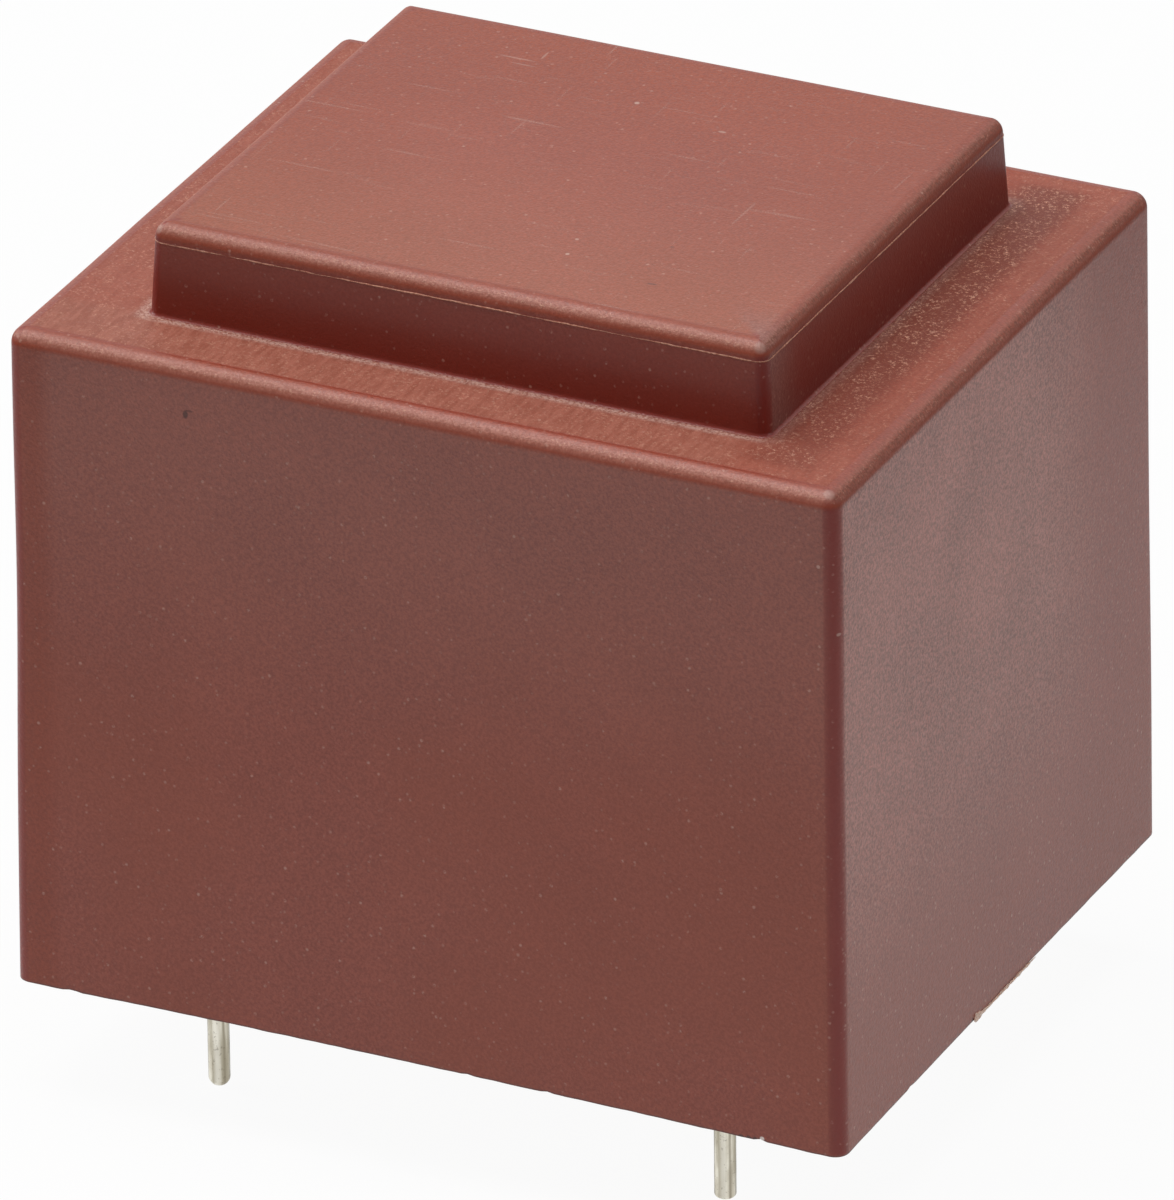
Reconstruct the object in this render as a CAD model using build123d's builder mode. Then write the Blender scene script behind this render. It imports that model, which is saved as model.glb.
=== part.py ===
from build123d import *
from math import radians, tan
import os

os.makedirs("parts", exist_ok=True)

# PCB transformer, encapsulated. Millimetres. The origin is the centre of the footprint in the
# plane of the case's open rim, which sits on the board. +X runs along the long side, +Y from the
# primary pins to the secondary pins, +Z up from the board.

# Core: E and I sheets of the 30 mm series
leg_width = 10.0
side_leg_width = 5.0
yoke_width = 5.0
window_width = 5.0
window_length = 15.0
sheet_thickness = 0.5
sheet_count = 36

# Bobbin: a square tube on the middle leg, three flanges, and a terminal ledge under each yoke
tube_clearance = 0.1
tube_wall = 0.8
tube_corner_radius = 0.5
flange_thickness = 0.7
flange_corner_chamfer = 1.0
flange_side_gap = 0.2
bobbin_end_gap = 0.1
ledge_thickness = 3.6
ledge_top_gap = 0.1
ledge_front_setback = 0.3
ledge_end_setback = 3.0
ledge_edge_chamfer = 0.5

# Windings, and the tape over them
winding_setback = 0.6
cover_tape_thickness = 0.12
layer_tape_thickness = 0.1

# Pins, on the 5 mm grid: a round free end for the board, and a square shank for the leads
pin_diameter = 0.8
pin_pitch = 5.0
pin_reach = 4.65
pin_tip_chamfer = 0.2
shank_side = 0.56
shank_grip = 3.0

# Leads from the windings, laid against the shanks and soldered
primary_wire = 0.2
secondary_wire = 0.3
inner_lead_depth = 0.4
outer_lead_depth = 2.1
lead_drop = 0.4
lead_bend_offset = 0.8
lead_tail = 0.2
lead_slot_offset = 3.0
lead_slot_width = 0.8
lead_slot_run = 1.6
lead_slot_headroom = 0.3
lead_shank_gap = 0.03
solder_height = 0.85
solder_thickness = 0.5
solder_slope_angle = 12.0

# Sides of the hidden, repeated sections, kept few
wire_sides = 6
solder_sides = 8

# Potting
potting_recess = 0.35
potting_cover = 0.25

# Case: a drafted cup, open at the board, with a crown on its roof that clears the coil
wall_thickness = 0.85
roof_thickness = 0.9
wall_draft_angle = 0.5
crown_draft_angle = 3.0
core_side_gap = 0.2
core_end_gap = 0.1
core_head_gap = 1.5
crown_side_gap = 1.455
crown_end_gap = 2.165
crown_head_gap = 0.2
case_corner_radius = 0.45
cavity_corner_radius = 0.3
shelf_edge_radius = 0.45
crown_corner_radius = 0.4
crown_edge_radius = 0.4
crown_root_radius = 0.25

# Mould parting line round the crown
parting_line_depth = 0.83
parting_line_height = 0.06
parting_line_proud = 0.03

# Worked out from the sizes above
core_length = leg_width + 2 * (window_width + side_leg_width)
core_depth = window_length + 2 * yoke_width
stack_height = sheet_count * sheet_thickness
row_y = (window_length + yoke_width) / 2
flange_reach = window_width - flange_side_gap
core_floor = potting_recess + potting_cover + flange_reach
core_top = core_floor + stack_height
coil_centre = core_floor + stack_height / 2

tube_width = leg_width + 2 * (tube_clearance + tube_wall)
tube_height = stack_height + 2 * (tube_clearance + tube_wall)
tube_underside = coil_centre - tube_height / 2
bobbin_length = window_length - 2 * bobbin_end_gap
flange_width = leg_width + 2 * flange_reach
flange_height = stack_height + 2 * flange_reach
chamber_start = flange_thickness / 2
chamber_end = bobbin_length / 2 - flange_thickness
chamber_width = chamber_end - chamber_start
ledge_top = core_floor - ledge_top_gap
ledge_underside = ledge_top - ledge_thickness
ledge_front = core_depth / 2 - ledge_front_setback
ledge_length = core_length - 2 * ledge_end_setback
ledge_width = ledge_front - bobbin_length / 2
lead_level = ledge_underside - lead_drop

cover_tape_outside = (flange_width - tube_width) / 2 - winding_setback
primary_build = cover_tape_outside - cover_tape_thickness
secondary_build = (primary_build - layer_tape_thickness) / 2
secondary_outer_start = secondary_build + layer_tape_thickness


def draft_inset(angle, height):
    """How far a drafted wall leans in over a height."""
    return height * tan(radians(angle))


cavity_length = core_length + 2 * (core_side_gap + draft_inset(wall_draft_angle, core_top))
cavity_depth = core_depth + 2 * (core_end_gap + draft_inset(wall_draft_angle, core_top))
case_length = cavity_length + 2 * wall_thickness
case_depth = cavity_depth + 2 * wall_thickness
shelf_height = core_top + core_head_gap + roof_thickness
case_top = coil_centre + flange_height / 2 + crown_head_gap + roof_thickness
crown_height = case_top - shelf_height
crown_cavity_length = flange_width + 2 * crown_side_gap
crown_cavity_depth = bobbin_length + 2 * crown_end_gap
crown_length = crown_cavity_length + 2 * wall_thickness
crown_depth = crown_cavity_depth + 2 * wall_thickness

# Each terminal: the pin's number, its place along the row, its row, its lead's depth and wire
terminals = [
    (1, -2, -1, inner_lead_depth, primary_wire),
    (5, 2, -1, outer_lead_depth, primary_wire),
    (6, 2, 1, inner_lead_depth, secondary_wire),
    (7, 1, 1, inner_lead_depth, secondary_wire),
    (9, -1, 1, outer_lead_depth, secondary_wire),
    (10, -2, 1, outer_lead_depth, secondary_wire),
]


def coil_section(y):
    """Plane across the coil at y, centred on the middle leg, facing the rear."""
    return Plane(origin=(0, y, coil_centre), x_dir=(1, 0, 0), z_dir=(0, 1, 0))


def sheet_planes(first_layer):
    """Every second layer of the stack, from the given one up."""
    layers = range(first_layer, sheet_count, 2)
    return [Plane.XY.offset(core_floor + layer * sheet_thickness) for layer in layers]


def make_e_sheets(first_layer, yoke_side):
    """E sheets with their yoke at the front (-1) or the rear (1)."""
    with BuildPart() as sheets:
        with BuildSketch(*sheet_planes(first_layer)):
            with Locations((0, yoke_side * yoke_width / 2)):
                Rectangle(core_length, window_length + yoke_width)
            with GridLocations(leg_width + window_width, 0, 2, 1):
                Rectangle(window_width, window_length, mode=Mode.SUBTRACT)
        extrude(amount=sheet_thickness)
    return sheets.part


def make_i_sheets(first_layer, side):
    """I sheets that close the E sheets of the same layers, at the front (-1) or the rear (1)."""
    with BuildPart() as sheets:
        with BuildSketch(*sheet_planes(first_layer)):
            with Locations((0, side * row_y)):
                Rectangle(core_length, yoke_width)
        extrude(amount=sheet_thickness)
    return sheets.part


def make_wrap(start_y, inner_build, outer_build):
    """A layer wound round the tube in one chamber, between two heights above the tube."""
    with BuildPart() as wrap:
        with BuildSketch(coil_section(start_y)):
            RectangleRounded(
                tube_width + 2 * outer_build,
                tube_height + 2 * outer_build,
                tube_corner_radius + outer_build,
            )
            RectangleRounded(
                tube_width + 2 * inner_build,
                tube_height + 2 * inner_build,
                tube_corner_radius + inner_build,
                mode=Mode.SUBTRACT,
            )
        extrude(amount=chamber_width)
    return wrap.part


def make_pin(column, row):
    """A tinned pin: its round end stands out of the potting, and its shank is pressed into the ledge."""
    with BuildPart() as pin:
        with BuildSketch(Plane.XY.offset(potting_recess)):
            with Locations((column * pin_pitch, row * row_y)):
                Circle(pin_diameter / 2)
        extrude(amount=-potting_recess - pin_reach)
        chamfer(pin.edges().group_by(Axis.Z)[0], length=pin_tip_chamfer)
        with BuildSketch(Plane.XY.offset(potting_recess)):
            with Locations((column * pin_pitch, row * row_y)):
                Rectangle(shank_side, shank_side)
        extrude(amount=ledge_underside + shank_grip - potting_recess)
    return pin.part


def make_lead(column, row, depth, wire):
    """A winding's end: out through the flange, down its slot, and along the ledge past the shank."""
    side = 1 if column > 0 else -1
    pin_x = column * pin_pitch
    slot_x = pin_x - side * lead_slot_offset
    start_z = tube_underside - depth
    bend_y = row * (bobbin_length / 2 + lead_bend_offset)
    near_y = row * (row_y - (shank_side + wire) / 2 - lead_shank_gap)
    with BuildPart() as lead:
        with BuildLine():
            Polyline(
                (slot_x, row * chamber_end, start_z),
                (slot_x, bend_y, start_z),
                (slot_x, bend_y, lead_level),
                (slot_x, near_y, lead_level),
                (pin_x + side * lead_tail, near_y, lead_level),
            )
        with BuildSketch(Plane(origin=(slot_x, row * chamber_end, start_z), z_dir=(0, row, 0))):
            RegularPolygon(wire / 2, wire_sides)
        sweep(transition=Transition.RIGHT)
    return lead.part


def make_solder_joint(column, row, pin, lead):
    """Solder round the shank and the end of its lead, against the ledge's underside."""
    with BuildPart() as joint:
        with BuildSketch(Plane.XY.offset(ledge_underside)):
            with Locations((column * pin_pitch, row * row_y)):
                RegularPolygon(shank_side / 2 + solder_thickness, solder_sides, major_radius=False)
        extrude(amount=-solder_height, taper=solder_slope_angle)
        add(pin, mode=Mode.SUBTRACT)
        add(lead, mode=Mode.SUBTRACT)
    return joint.part


pieces = {}

# Core sheets, stacked one by one from both sides
pieces["front_e_sheets"] = make_e_sheets(0, -1)
pieces["rear_i_sheets"] = make_i_sheets(0, 1)
pieces["rear_e_sheets"] = make_e_sheets(1, 1)
pieces["front_i_sheets"] = make_i_sheets(1, -1)

# Bobbin
with BuildPart() as bobbin:
    with BuildSketch(Plane.XY.offset(ledge_underside)):
        with GridLocations(0, bobbin_length + ledge_width, 1, 2):
            Rectangle(ledge_length, ledge_width)
    extrude(amount=ledge_thickness)
    lower_edges = bobbin.edges().group_by(Axis.Z)[0].filter_by(Axis.X).group_by(Axis.Y)
    chamfer(lower_edges[0] + lower_edges[-1], length=ledge_edge_chamfer)
    with BuildSketch(coil_section(-bobbin_length / 2)):
        RectangleRounded(tube_width, tube_height, tube_corner_radius)
    extrude(amount=bobbin_length)
    flange_starts = (-bobbin_length / 2, -chamber_start, chamber_end)
    with BuildSketch(*[coil_section(y) for y in flange_starts]) as flanges:
        Rectangle(flange_width, flange_height)
        chamfer(flanges.vertices(), length=flange_corner_chamfer)
    extrude(amount=flange_thickness)
    with BuildSketch(coil_section(-bobbin_length / 2)):
        Rectangle(leg_width + 2 * tube_clearance, stack_height + 2 * tube_clearance)
    extrude(amount=bobbin_length, mode=Mode.SUBTRACT)
    with BuildSketch(Plane.XY.offset(ledge_underside)):
        with Locations(*[(column * pin_pitch, row * row_y) for _, column, row, _, _ in terminals]):
            Rectangle(shank_side, shank_side)
    extrude(amount=shank_grip, mode=Mode.SUBTRACT)
    for _, column, row, depth, _ in terminals:
        slot_x = column * pin_pitch - (lead_slot_offset if column > 0 else -lead_slot_offset)
        slot_length = flange_thickness + lead_slot_run
        slot_floor = coil_centre - flange_height / 2
        slot_top = tube_underside - depth + lead_slot_headroom
        with BuildSketch(Plane.XY.offset(slot_floor)):
            with Locations((slot_x, row * (chamber_end + slot_length / 2))):
                Rectangle(lead_slot_width, slot_length)
        extrude(amount=slot_top - slot_floor, mode=Mode.SUBTRACT)
pieces["bobbin"] = bobbin.part

# Windings and tapes: the primary fills the front chamber, the two secondaries the rear one
front_chamber = -chamber_end
rear_chamber = chamber_start
pieces["primary_winding"] = make_wrap(front_chamber, 0, primary_build)
pieces["primary_tape"] = make_wrap(front_chamber, primary_build, cover_tape_outside)
pieces["secondary_winding_inner"] = make_wrap(rear_chamber, 0, secondary_build)
pieces["secondary_layer_tape"] = make_wrap(rear_chamber, secondary_build, secondary_outer_start)
pieces["secondary_winding_outer"] = make_wrap(rear_chamber, secondary_outer_start, primary_build)
pieces["secondary_tape"] = make_wrap(rear_chamber, primary_build, cover_tape_outside)

# Pins, leads and solder joints
for number, column, row, depth, wire in terminals:
    pin = make_pin(column, row)
    lead = make_lead(column, row, depth, wire)
    pieces[f"pin_{number}"] = pin
    pieces[f"lead_{number}"] = lead
    pieces[f"solder_joint_{number}"] = make_solder_joint(column, row, pin, lead)

# Space inside the case: the cup, and the pocket in its crown
with BuildPart() as cavity:
    with BuildSketch():
        Rectangle(cavity_length, cavity_depth)
    extrude(amount=shelf_height - roof_thickness, taper=wall_draft_angle)
    fillet(cavity.edges().group_by(Axis.Z)[1], radius=cavity_corner_radius)
    with BuildSketch(Plane.XY.offset(shelf_height - roof_thickness)):
        Rectangle(crown_cavity_length, crown_cavity_depth)
    extrude(amount=crown_height, taper=crown_draft_angle)
    fillet(cavity.edges().group_by(Axis.Z)[-2], radius=cavity_corner_radius)

# Case
with BuildPart() as case:
    with BuildSketch():
        Rectangle(case_length, case_depth)
    extrude(amount=shelf_height, taper=wall_draft_angle)
    fillet(case.edges().group_by(Axis.Z)[1], radius=case_corner_radius)
    with BuildSketch(Plane.XY.offset(shelf_height)):
        Rectangle(crown_length, crown_depth)
    extrude(amount=crown_height, taper=crown_draft_angle)
    fillet(case.edges().group_by(Axis.Z)[-2], radius=crown_corner_radius)
    crown_top = case.faces().sort_by(Axis.Z)[-1]
    fillet(crown_top.edges(), radius=crown_edge_radius)
    shelf = case.faces().filter_by(Axis.Z).sort_by(Axis.Z)[-2]
    fillet(shelf.outer_wire().edges(), radius=shelf_edge_radius)
    shelf = case.faces().filter_by(Axis.Z).sort_by(Axis.Z)[-2]
    fillet(shelf.inner_wires()[0].edges(), radius=crown_root_radius)
    line_height = crown_height - parting_line_depth
    line_inset = draft_inset(crown_draft_angle, line_height)
    with BuildSketch(Plane.XY.offset(shelf_height + line_height)):
        RectangleRounded(
            crown_length - 2 * (line_inset - parting_line_proud),
            crown_depth - 2 * (line_inset - parting_line_proud),
            crown_corner_radius,
        )
    extrude(amount=-parting_line_height)
    add(cavity.part, mode=Mode.SUBTRACT)
pieces["case"] = case.part

# Potting: it fills the case round everything above, up to just below the rim
with BuildPart() as potting:
    add(cavity.part)
    split(bisect_by=Plane.XY.offset(potting_recess), keep=Keep.TOP)
    with BuildSketch(Plane.XY.offset(core_floor)):
        Rectangle(core_length, core_depth)
        with GridLocations(leg_width + window_width, 0, 2, 1):
            Rectangle(window_width, window_length, mode=Mode.SUBTRACT)
    extrude(amount=stack_height, mode=Mode.SUBTRACT)
    with BuildSketch(coil_section(-bobbin_length / 2)):
        Rectangle(leg_width + 2 * tube_clearance, stack_height + 2 * tube_clearance)
    extrude(amount=bobbin_length, mode=Mode.SUBTRACT)
    for name, piece in pieces.items():
        if name != "case" and not name.endswith("sheets"):
            add(piece, mode=Mode.SUBTRACT)
pieces["potting"] = potting.part.solids().sort_by(SortBy.VOLUME)[-1]

for name, piece in pieces.items():
    piece.label = name
    export_step(piece, f"parts/{name}.step")
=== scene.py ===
import math

import bmesh
import bpy
import numpy as np
from mathutils import Matrix, Vector, noise


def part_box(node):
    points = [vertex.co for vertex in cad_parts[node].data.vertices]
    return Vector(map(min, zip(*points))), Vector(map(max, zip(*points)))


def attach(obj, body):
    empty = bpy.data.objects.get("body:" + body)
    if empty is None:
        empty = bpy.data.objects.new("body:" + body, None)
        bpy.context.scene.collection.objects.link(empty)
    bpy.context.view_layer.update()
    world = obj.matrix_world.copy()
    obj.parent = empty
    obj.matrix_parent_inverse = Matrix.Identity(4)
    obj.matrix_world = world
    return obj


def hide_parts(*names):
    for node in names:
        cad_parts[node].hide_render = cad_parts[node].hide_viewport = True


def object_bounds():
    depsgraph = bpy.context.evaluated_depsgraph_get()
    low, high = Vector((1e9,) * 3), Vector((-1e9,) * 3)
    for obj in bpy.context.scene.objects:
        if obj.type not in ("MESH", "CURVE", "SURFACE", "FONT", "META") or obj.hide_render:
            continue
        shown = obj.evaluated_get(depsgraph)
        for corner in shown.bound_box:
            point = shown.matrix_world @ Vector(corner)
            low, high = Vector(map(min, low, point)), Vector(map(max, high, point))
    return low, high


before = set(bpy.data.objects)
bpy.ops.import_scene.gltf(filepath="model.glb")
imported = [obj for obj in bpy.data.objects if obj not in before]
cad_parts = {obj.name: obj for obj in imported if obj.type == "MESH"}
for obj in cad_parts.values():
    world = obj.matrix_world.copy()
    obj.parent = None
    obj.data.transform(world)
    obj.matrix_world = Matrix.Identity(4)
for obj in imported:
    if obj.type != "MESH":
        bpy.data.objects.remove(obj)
cad_low, cad_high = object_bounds()

MM = 0.001

# Case, as moulded. Its height, footprint and crown are read from the frame
SHELF_HEIGHT = 25.8 * MM
WALL_THICKNESS = 0.85 * MM
ROOF_THICKNESS = 0.9 * MM
CASE_CORNER_RADIUS = 0.58 * MM
SHELF_EDGE_RADIUS = 0.62 * MM
CROWN_CORNER_RADIUS = 0.45 * MM
CROWN_EDGE_RADIUS = 0.58 * MM
CROWN_ROOT_RADIUS = 0.14 * MM
CAVITY_CORNER_RADIUS = 0.3 * MM
WALL_DRAFT = math.radians(0.5)
CROWN_DRAFT = math.radians(3.0)
RIM_EDGE_RADIUS = 0.035 * MM

# How the walls were drawn in as the resin set, and how even they are
FRONT_DRAW_IN = 0.22 * MM
RIGHT_DRAW_IN = 0.03 * MM
LEFT_SINK = 0.1 * MM
LEFT_SINK_HEIGHT = 0.62
FACE_UNEVENNESS = 0.02 * MM
RIM_RAGGEDNESS = 0.018 * MM

# Nicks in the lower rim: side, share of the side's length, width and height
RIM_NICKS = (
    ("front", 0.07, 0.2 * MM, 0.06 * MM),
    ("front", 0.55, 0.16 * MM, 0.05 * MM),
    ("front", 0.644, 0.16 * MM, 0.05 * MM),
    ("front", 0.903, 0.1 * MM, 0.1 * MM),
    ("right", 0.214, 0.18 * MM, 0.06 * MM),
)

# Parting line round the crown
PARTING_DEPTH = 0.68 * MM
PARTING_RADIUS = 0.03 * MM
PARTING_WANDER = 0.05 * MM

# Flake of flash on the lower right rim
FLAKE_START = -2.4 * MM
FLAKE_END = 2.9 * MM
FLAKE_THICKNESS = 0.05 * MM

# Potting
POTTING_LEVEL = 0.33 * MM
POTTING_SKIN_BACK = 0.6 * MM
MENISCUS_RISE = 0.2 * MM
MENISCUS_REACH = 0.4 * MM

# Pins. The left front pin's tip is rounded right over, the right front pin's is blunt
PIN_NUMBERS = (1, 5, 6, 7, 9, 10)
PIN_TIPS = {1: (0.38 * MM, 0.0), 5: (0.14 * MM, 0.62), 6: (0.2 * MM, 0.4), 7: (0.3 * MM, 0.2), 9: (0.16 * MM, 0.5), 10: (0.34 * MM, 0.1)}
PIN_SHANK_SIDE = 0.56 * MM
# Direction across the pins along which their painted highlight and shade lie
PIN_PAINTED_LIGHT_SIDE = (0.9, 0.434, 0.0)
PIN_ROUND_TOP = 0.35 * MM

# Camera, worked out from the case's edges in the photograph
CAMERA_AZIMUTH = 0.449
CAMERA_ELEVATION = 0.4712
CAMERA_ROLL = -0.0118
CAMERA_DISTANCE = 0.64083
CAMERA_TARGET = Vector((0.016, 0.0, 12.265)) * MM
CAMERA_LENS = 539.5
CAMERA_SENSOR = 36.0

# Studio: name, place in metres, side in metres and watts of each soft box
AMBIENT = 0.02
SOFT_BOXES = (
    ("overhead", (0.0, -0.06, 1.0), 0.6, 5.8),
    ("upper left", (-0.42, 0.0, 0.91), 0.45, 1.9),
    ("lower left", (-0.9, -0.1, 0.45), 0.4, 3.3),
    ("lower right", (0.9, 0.1, 0.45), 0.4, 0.8),
)

# Painted highlight band on a rounded edge and the painted shade band under it: degrees from the wall, and their spread
HIGHLIGHT_ANGLE = 43.0
HIGHLIGHT_SPREAD = 17.0
UNDER_HIGHLIGHT_ANGLE = 16.0
UNDER_HIGHLIGHT_SPREAD = 10.0

# Mesh density of the case
SIDE_STEPS_X = 120
SIDE_STEPS_Y = 100
CORNER_STEPS = 10


def link(thing):
    """Put a new object into the scene."""
    bpy.context.scene.collection.objects.link(thing)
    return thing


def mesh_object(name, points, faces, material, smooth=True):
    """A mesh object from points and faces, with its material and smooth or flat shading."""
    data = bpy.data.meshes.new(name)
    data.from_pydata([tuple(p) for p in points], [], faces)
    piece = link(bpy.data.objects.new(name, data))
    data.polygons.foreach_set("use_smooth", [smooth] * len(data.polygons))
    data.materials.append(material)
    return piece


def close_seams(piece):
    """Merge doubled points and turn every face outward."""
    shape = bmesh.new()
    shape.from_mesh(piece.data)
    bmesh.ops.remove_doubles(shape, verts=shape.verts, dist=0.0005 * MM)
    bmesh.ops.recalc_face_normals(shape, faces=shape.faces)
    shape.to_mesh(piece.data)
    shape.free()
    return piece


def give_marks(piece, marks):
    """Store named values from 0 to 1 at each point, for the material to read."""
    for name, values in marks.items():
        attribute = piece.data.attributes.new(name, "FLOAT", "POINT")
        attribute.data.foreach_set("value", np.clip(values, 0.0, 1.0).astype(np.float32))


def extent_above(node, height):
    """Half the length and half the depth of a CAD node's part above a height."""
    points = np.array([v.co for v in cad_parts[node].data.vertices])
    upper = points[points[:, 2] > height]
    return np.abs(upper[:, 0]).max(), np.abs(upper[:, 1]).max()


case_low, case_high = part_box("case")
CASE_HALF_X = case_high.x
CASE_HALF_Y = case_high.y
CASE_TOP = case_high.z
CROWN_HEIGHT = CASE_TOP - SHELF_HEIGHT
CAD_ROOT_TOP = 0.3 * MM
CROWN_HALF_X, CROWN_HALF_Y = extent_above("case", SHELF_HEIGHT + CAD_ROOT_TOP)
CROWN_HALF_X += CAD_ROOT_TOP * math.tan(CROWN_DRAFT)
CROWN_HALF_Y += CAD_ROOT_TOP * math.tan(CROWN_DRAFT)


def rounded_outline(half_x, half_y, radius):
    """Points of a rounded rectangle, counter-clockwise from its right side, with fixed counts a side."""
    flat_x, flat_y = half_x - radius, half_y - radius
    corners = (
        (flat_x, flat_y, 0.0),
        (-flat_x, flat_y, 90.0),
        (-flat_x, -flat_y, 180.0),
        (flat_x, -flat_y, 270.0),
    )
    steps = (SIDE_STEPS_X, SIDE_STEPS_Y, SIDE_STEPS_X, SIDE_STEPS_Y)
    points = []
    for index, (x, y, start) in enumerate(corners):
        arc = [math.radians(start + 90.0 * k / CORNER_STEPS) for k in range(CORNER_STEPS + 1)]
        points += [(x + radius * math.cos(a), y + radius * math.sin(a)) for a in arc]
        next_x, next_y, next_start = corners[(index + 1) % 4]
        next_angle = math.radians(next_start)
        begin = points[-1]
        end = (next_x + radius * math.cos(next_angle), next_y + radius * math.sin(next_angle))
        for k in range(1, steps[index]):
            share = k / steps[index]
            points.append(tuple(a + (b - a) * share for a, b in zip(begin, end)))
    return points


def corner_shares():
    """For each point of an outline, 1 in the middle of a rounded corner, falling to 0 at its ends."""
    arc = [math.sin(math.pi * k / CORNER_STEPS) ** 0.5 if 0 < k < CORNER_STEPS else 0.0 for k in range(CORNER_STEPS + 1)]
    shares = []
    for steps in (SIDE_STEPS_X, SIDE_STEPS_Y, SIDE_STEPS_X, SIDE_STEPS_Y):
        shares += arc + [0.0] * (steps - 1)
    return shares


class Stack:
    """Level rings stacked up a surface, each with its values of the marks the material reads."""

    def __init__(self):
        self.rings = []
        self.marks = []

    def add(self, half_x, half_y, radius, height, **marks):
        outline = rounded_outline(half_x, half_y, max(radius, 0.0))
        self.rings.append([(x, y, height) for x, y in outline])
        self.marks.append(marks)


def bridge(rings):
    """Faces between each ring and the next."""
    count = len(rings[0])
    faces = []
    for level in range(len(rings) - 1):
        low, high = level * count, (level + 1) * count
        for k in range(count):
            after = (k + 1) % count
            faces.append((low + k, low + after, high + after, high + k))
    return faces


def grid_cap(half_x, half_y, height, first_index):
    """A level grid that closes a sharp-cornered ring of that size."""
    xs = np.linspace(-half_x, half_x, SIDE_STEPS_X + 1)
    ys = np.linspace(-half_y, half_y, SIDE_STEPS_Y + 1)
    points = [(x, y, height) for y in ys for x in xs]
    width = SIDE_STEPS_X + 1
    faces = []
    for row in range(SIDE_STEPS_Y):
        for column in range(SIDE_STEPS_X):
            corner = first_index + row * width + column
            faces.append((corner, corner + 1, corner + width + 1, corner + width))
    return points, faces


def smoothstep(low, high, value):
    """0 below low, 1 above high, smooth between."""
    share = np.clip((value - low) / (high - low), 0.0, 1.0)
    return share * share * (3.0 - 2.0 * share)


def noise_at(points, per_mm, seed):
    """Smooth noise from -1 to 1 at each point, with about per_mm waves a millimetre."""
    scale = per_mm / MM
    offset = Vector((seed, -seed, 0.5 * seed))
    return np.array([noise.noise(Vector(p) * scale + offset) for p in points])


def draw_in(points):
    """Bend the walls as the real ones are: drawn in at the rim, and the left one sunk in above its middle."""
    moved = points.copy()
    share_x = np.clip(points[:, 0] / CASE_HALF_X, -1.0, 1.0)
    share_y = np.clip(points[:, 1] / CASE_HALF_Y, -1.0, 1.0)
    share_z = np.clip(points[:, 2] / SHELF_HEIGHT, 0.0, 1.0)
    lowness = (1.0 - share_z) ** 1.3
    moved[:, 1] -= np.sign(share_y) * FRONT_DRAW_IN * (1.0 - share_x**2) * lowness * np.abs(share_y) ** 4
    moved[:, 0] -= RIGHT_DRAW_IN * (1.0 - share_y**2) * lowness * np.clip(share_x, 0.0, 1.0) ** 4
    sunk = np.exp(-(((share_z - LEFT_SINK_HEIGHT) / 0.25) ** 2))
    moved[:, 0] += LEFT_SINK * sunk * np.clip(-share_x, 0.0, 1.0) ** 4
    return moved


def cut_nicks(points):
    """Lift the rim's lower edge where it is nicked."""
    moved = points.copy()
    near_rim = np.clip(1.0 - points[:, 2] / (0.5 * MM), 0.0, 1.0)
    for side, share, width, height in RIM_NICKS:
        if side == "front":
            along = points[:, 0] - (2.0 * share - 1.0) * CASE_HALF_X
            on_side = points[:, 1] < -(CASE_HALF_Y - 0.5 * MM)
        else:
            along = points[:, 1] - (2.0 * share - 1.0) * CASE_HALF_Y
            on_side = points[:, 0] > CASE_HALF_X - 0.5 * MM
        moved[:, 2] += height * np.exp(-((along / width) ** 2)) * near_rim * on_side
    return moved


def keep_inside(points):
    """Hold every point inside the CAD model's box."""
    return np.clip(points, np.array(cad_low), np.array(cad_high))


def stack_edge(stack, half_x, half_y, corner_radius, edge_radius, foot):
    """A rounded upper edge that starts at the wall's end and turns in to the level."""
    steps = 12
    for k in range(1, steps + 1):
        degrees = 90.0 * k / steps
        angle = math.radians(degrees)
        inset = edge_radius * (1.0 - math.cos(angle))
        stack.add(
            half_x - inset,
            half_y - inset,
            corner_radius - inset,
            foot + edge_radius * math.sin(angle),
            bead=math.exp(-(((degrees - HIGHLIGHT_ANGLE) / HIGHLIGHT_SPREAD) ** 2)),
            under=math.exp(-(((degrees - UNDER_HIGHLIGHT_ANGLE) / UNDER_HIGHLIGHT_SPREAD) ** 2)),
            crease=float(smoothstep(74.0, 88.0, degrees)),
        )
    return half_x - edge_radius, half_y - edge_radius


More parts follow.
